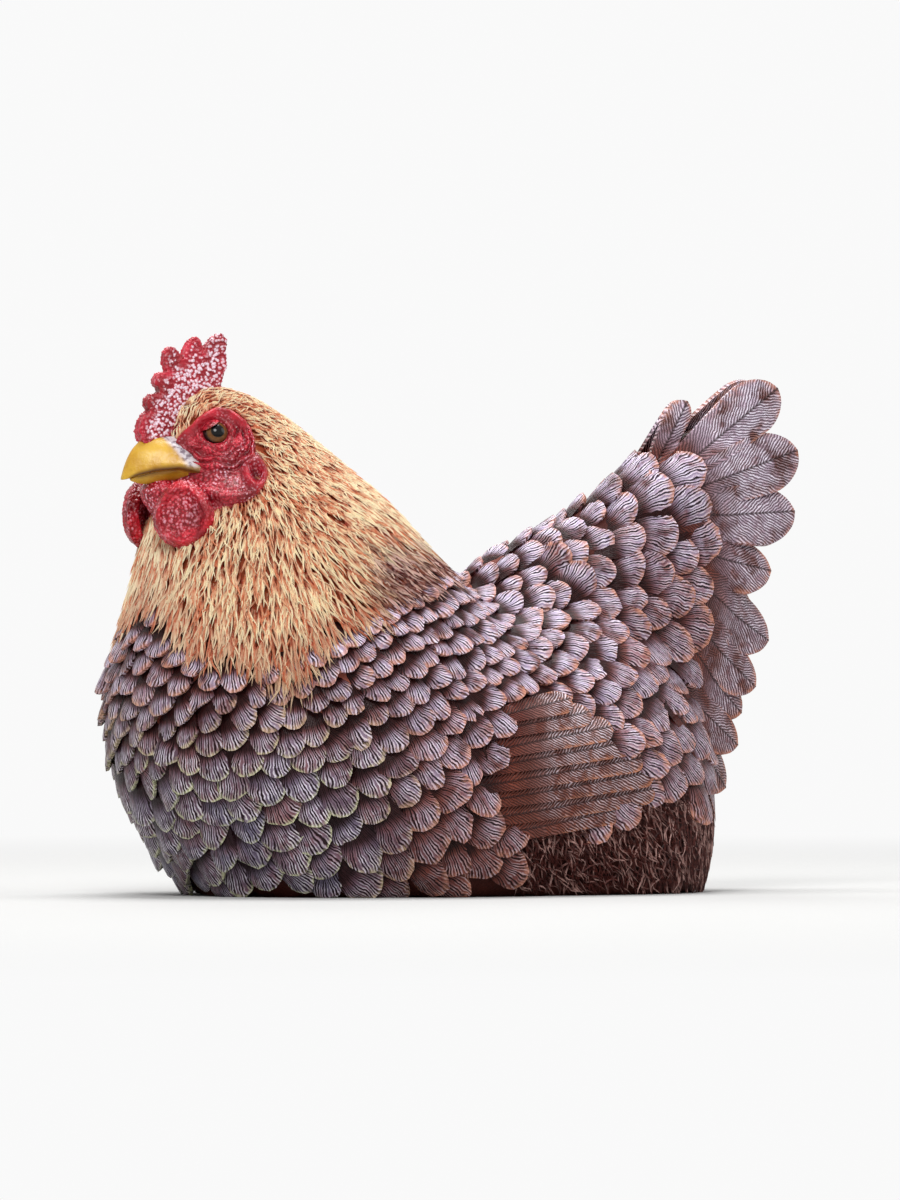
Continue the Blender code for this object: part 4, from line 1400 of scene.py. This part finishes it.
def face_relief(x, z, share):
    """The height of the face, how much painted shade lies in its folds and hollows, and where its skin is
    smooth.
    """
    from_eye = np.hypot(x - EYE[0], (z - EYE[1]) * 1.05)
    round_eye = np.degrees(np.arctan2(z - EYE[1], x - EYE[0]))
    below = smooth_step(round_eye, -175.0, -130.0) * smooth_step(25.0 - round_eye, 0.0, 30.0)
    wander = 0.9 * np.sin(x * 0.55 + z * 0.2) + 0.6 * np.sin(z * 0.8 - x * 0.3)
    folds = np.cos((from_eye + wander) * 2 * math.pi / 3.6) * below * smooth_step(from_eye, 6.5, 9.0)
    folds = folds * smooth_step(24.0 - from_eye, 0.0, 6.0)
    around_lobe = np.hypot((x - LOBE[0]) / 5.2, (z - LOBE[1]) / 8.2)
    lobe_rim = bell(around_lobe, 0.86, 0.30)
    hollow = bell(around_lobe, 0.0, 0.42)
    socket = np.exp(-((from_eye / 6.4) ** 4))
    brow = along_path(x, z, BROW, 1.9)
    pebble = 0.20 * np.sin(x * 3.1 + 2.0 * np.sin(z * 2.3)) * np.sin(z * 3.7 + 1.7 * np.sin(x * 1.9))
    height = 1.7 + 1.15 * folds + 1.3 * bell(from_eye, 7.3, 1.2) - 1.8 * socket + pebble
    height = height + 4.6 * brow * (1.0 - 0.6 * socket)
    height = height - 2.6 * bell(x, -155.0, 6.0) * bell(z, 207.5, 3.6)
    height = height + 3.2 * along_path(x, z, JAW_FOLD, 2.4) + 3.4 * lobe_rim - 2.4 * hollow
    height = height * (1.0 - share**16) - 0.6 * share**16
    # Painted shade: in the folds below the eye, in the hollow of the ear lobe, as a shadow line under the
    # brow, in a ring round the lobe and under the jaw fold.
    dark = np.clip(0.35 - folds * 0.65, 0.0, 1.0) * below * 0.75 + 0.9 * hollow
    dark = dark + 0.8 * along_path(x + 0.8, z + 3.6, BROW, 1.6) * (1.0 - brow)
    dark = dark + 0.55 * bell(around_lobe, 1.32, 0.16) + 0.5 * along_path(x, z + 3.6, JAW_FOLD, 1.2)
    plain = np.clip(brow * 1.1 + 0.7 * lobe_rim - 0.3 * hollow, 0.0, 0.9)
    return height * MM, np.clip(dark, 0.0, 1.0), plain


around = np.array(FACE_OUTLINE) - FACE_MIDDLE
turns = np.arctan2(around[:, 1], around[:, 0])
order = np.argsort(turns)
for sign, side in SIDES:
    pad = shell_grid("face_" + side, FACE_GRID, FACE_GRID)
    a, b, under = points_of(pad).T
    a, b = a * np.sqrt(1.0 - b * b / 2.0), b * np.sqrt(1.0 - a * a / 2.0)
    angle, share = np.arctan2(b, a), np.hypot(a, b)
    far = np.interp(angle, turns[order], np.hypot(*around.T)[order], period=2 * math.pi) * share
    x, z = FACE_MIDDLE[0] + far * np.cos(angle), FACE_MIDDLE[1] + far * np.sin(angle)
    base, out = onto_skin(side_skin(x, z, sign), 1)
    height, fold_shade, plain = face_relief(x, z, share)
    put_points(pad, base + out * np.where(under < -0.5, -2.0 * MM, height)[:, None])
    facing_out(pad)
    write_numbers(pad, "lie", plain, fold_shade, 0.0)
    finish_piece(pad, face_red)

# %% [markdown]
# ## Eyes and lids
# The eye is a ball sunk in the face, with pupil and iris painted by the angle from its gaze.
# The frown of a hen is its upper lid, a fold of skin that cuts across the top of the eye. A
# slightly larger ball over the eye is cut by a slanting plane, and what is above it is the lid.

# %% Eyes and lids
EYE_RADIUS = 6.6 * MM
EYE_SUNK = 2.2 * MM
# Radius in metres, the way that a lid faces, and how far out along it the ball is cut.
LIDS = {"upper": (0.0077, (-0.62, 0.0, 1.0), 0.0056), "rear": (0.0075, (0.95, 0.0, 0.75), 0.0064)}


def ball_at(name, radius, middle):
    select_only()
    bpy.ops.mesh.primitive_uv_sphere_add(segments=48, ring_count=32, radius=radius, location=middle)
    ball = just_added(name)
    bpy.ops.object.transform_apply(location=True, rotation=False, scale=False)
    return ball


def eye_middle(sign):
    """The middle of the ball that the eye and both of its lids are cut from."""
    seat, out = onto_skin(side_skin([EYE[0]], [EYE[1]], sign), 1)
    return seat[0] - out[0] * EYE_SUNK


for sign, side in SIDES:
    middle = eye_middle(sign)
    ball = ball_at("eye_" + side, EYE_RADIUS, middle)
    look = unit(np.array((-0.24, sign * 0.90, 0.34)))
    off_axis = np.arccos(np.clip(unit(points_of(ball) - middle) @ look, -1, 1)) / (math.pi / 2)
    write_numbers(ball, "tone", off_axis, 0.0, 0.0, 1.0)
    finish_piece(ball, eye_paint)

for sign, side in SIDES:
    middle = eye_middle(sign)
    for part, (radius, tilt, drop) in LIDS.items():
        facing = unit(np.array(tilt))
        lid = ball_at("lid_" + side + "_" + part, radius, middle)
        edit_all()
        bpy.ops.mesh.bisect(
            plane_co=middle + facing * drop, plane_no=facing, use_fill=True, clear_inner=True
        )
        facing_out(lid)
        write_numbers(lid, "lie", *np.zeros((3, len(lid.data.vertices))))
        finish_piece(lid, face_red, 40.0)

# %% [markdown]
# ## Beak
# The beak is two halves of horn, the upper one hooked a little at the tip and pale and soft at
# its root. Each starts as a cylinder along the bill, and each ring of it is then given its own
# height, width and droop, so the ridge on top and the gape line at the side stay sharp.

# %% Beak
BEAK_RINGS = 22
# Measures in millimetres at shares of the length, from the face to the tip.
GAPE_AT = (0, 0.3, 0.6, 0.85, 1.0)
TOP_AT, TOP = (0, 0.3, 0.5, 0.7, 0.83, 0.93, 1.0), (229, 229, 228.3, 225.8, 221.5, 215.5, 207.5)
WIDE_AT, WIDE = (0, 0.15, 0.3, 0.5, 0.7, 0.85, 0.95, 1.0), (21.2, 19.4, 16.4, 12.3, 8.4, 5.4, 3.2, 1.6)


def upper_bill(share, y, z):
    x = -150.0 - 34.0 * share
    gape = np.interp(share, GAPE_AT, (209.5, 212.0, 211.0, 208.6, 206.3))
    height = gape + (np.interp(share, TOP_AT, TOP) - gape) * np.where(z > 0, z, 0.10 * z)
    lip = 1.0 + 0.09 * bell(z, 0.1, 0.16)
    across = np.sign(y) * np.abs(y) ** 1.25 * np.interp(share, WIDE_AT, WIDE) * lip
    soft_root = smooth_step(x * 0.80 + height * 0.35, -52.4, -50.2) * smooth_step(height, 211.8, 213.6)
    return x, across, height, gape, soft_root


def lower_bill(share, y, z):
    gape = np.interp(share, GAPE_AT, (209.6, 212.0, 211.0, 208.8, 207.0))
    under_side = np.interp(share, GAPE_AT, (203.5, 204.3, 204.0, 204.4, 205.8))
    height = gape + (gape - under_side) * np.minimum(z, 0.0)
    across = y * np.interp(share, GAPE_AT, (20.0, 14.6, 9.2, 4.6, 1.8))
    return -149.0 - 30.0 * share, across, height, gape, 0.0


for name, shape_of in (("beak_upper", upper_bill), ("beak_lower", lower_bill)):
    select_only()
    bpy.ops.mesh.primitive_cylinder_add(
        vertices=40, radius=1.0, depth=2.0, rotation=(0.0, math.radians(-90.0), 0.0)
    )
    bill = just_added(name)
    bpy.ops.object.transform_apply(location=False, rotation=True, scale=False)
    cut_in_rings(bill, BEAK_RINGS, Vector((1.0, 0.0, 0.0)))
    form = points_of(bill)
    share = (1.0 - form[:, 0]) / 2.0  # 0 at the face, 1 at the tip
    x, across, height, gape, soft_root = shape_of(share, form[:, 1], form[:, 2])
    put_points(bill, np.stack([x, across, height], -1) * MM)
    # Darker along the gape line, as painted shade in the crease between the two halves.
    near_gape = bell(height, gape, 0.9) * smooth_step(share, 0.98, 0.85)
    write_numbers(bill, "tone", near_gape * 0.9, soft_root, 0.0, 1.0)
    relax = bill.modifiers.new("softer", "SUBSURF")
    relax.levels = 1
    relax.render_levels = 1
    apply_modifiers(bill)
    finish_piece(bill, horn, 50.0)

# %% [markdown]
# ## Closing
# The patterns have done their work and go. The box of the finished hen is written beside that
# of the solid, so the two can be compared.

# %% Clear the patterns and close
for pattern in [thing for thing in bpy.data.objects if thing.name.startswith("pattern_")]:
    bpy.data.objects.remove(pattern)

low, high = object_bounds()
for name, span in (("solid", cad_high - cad_low), ("dressed", high - low)):
    print(name, [round(side / MM, 1) for side in span], "mm")
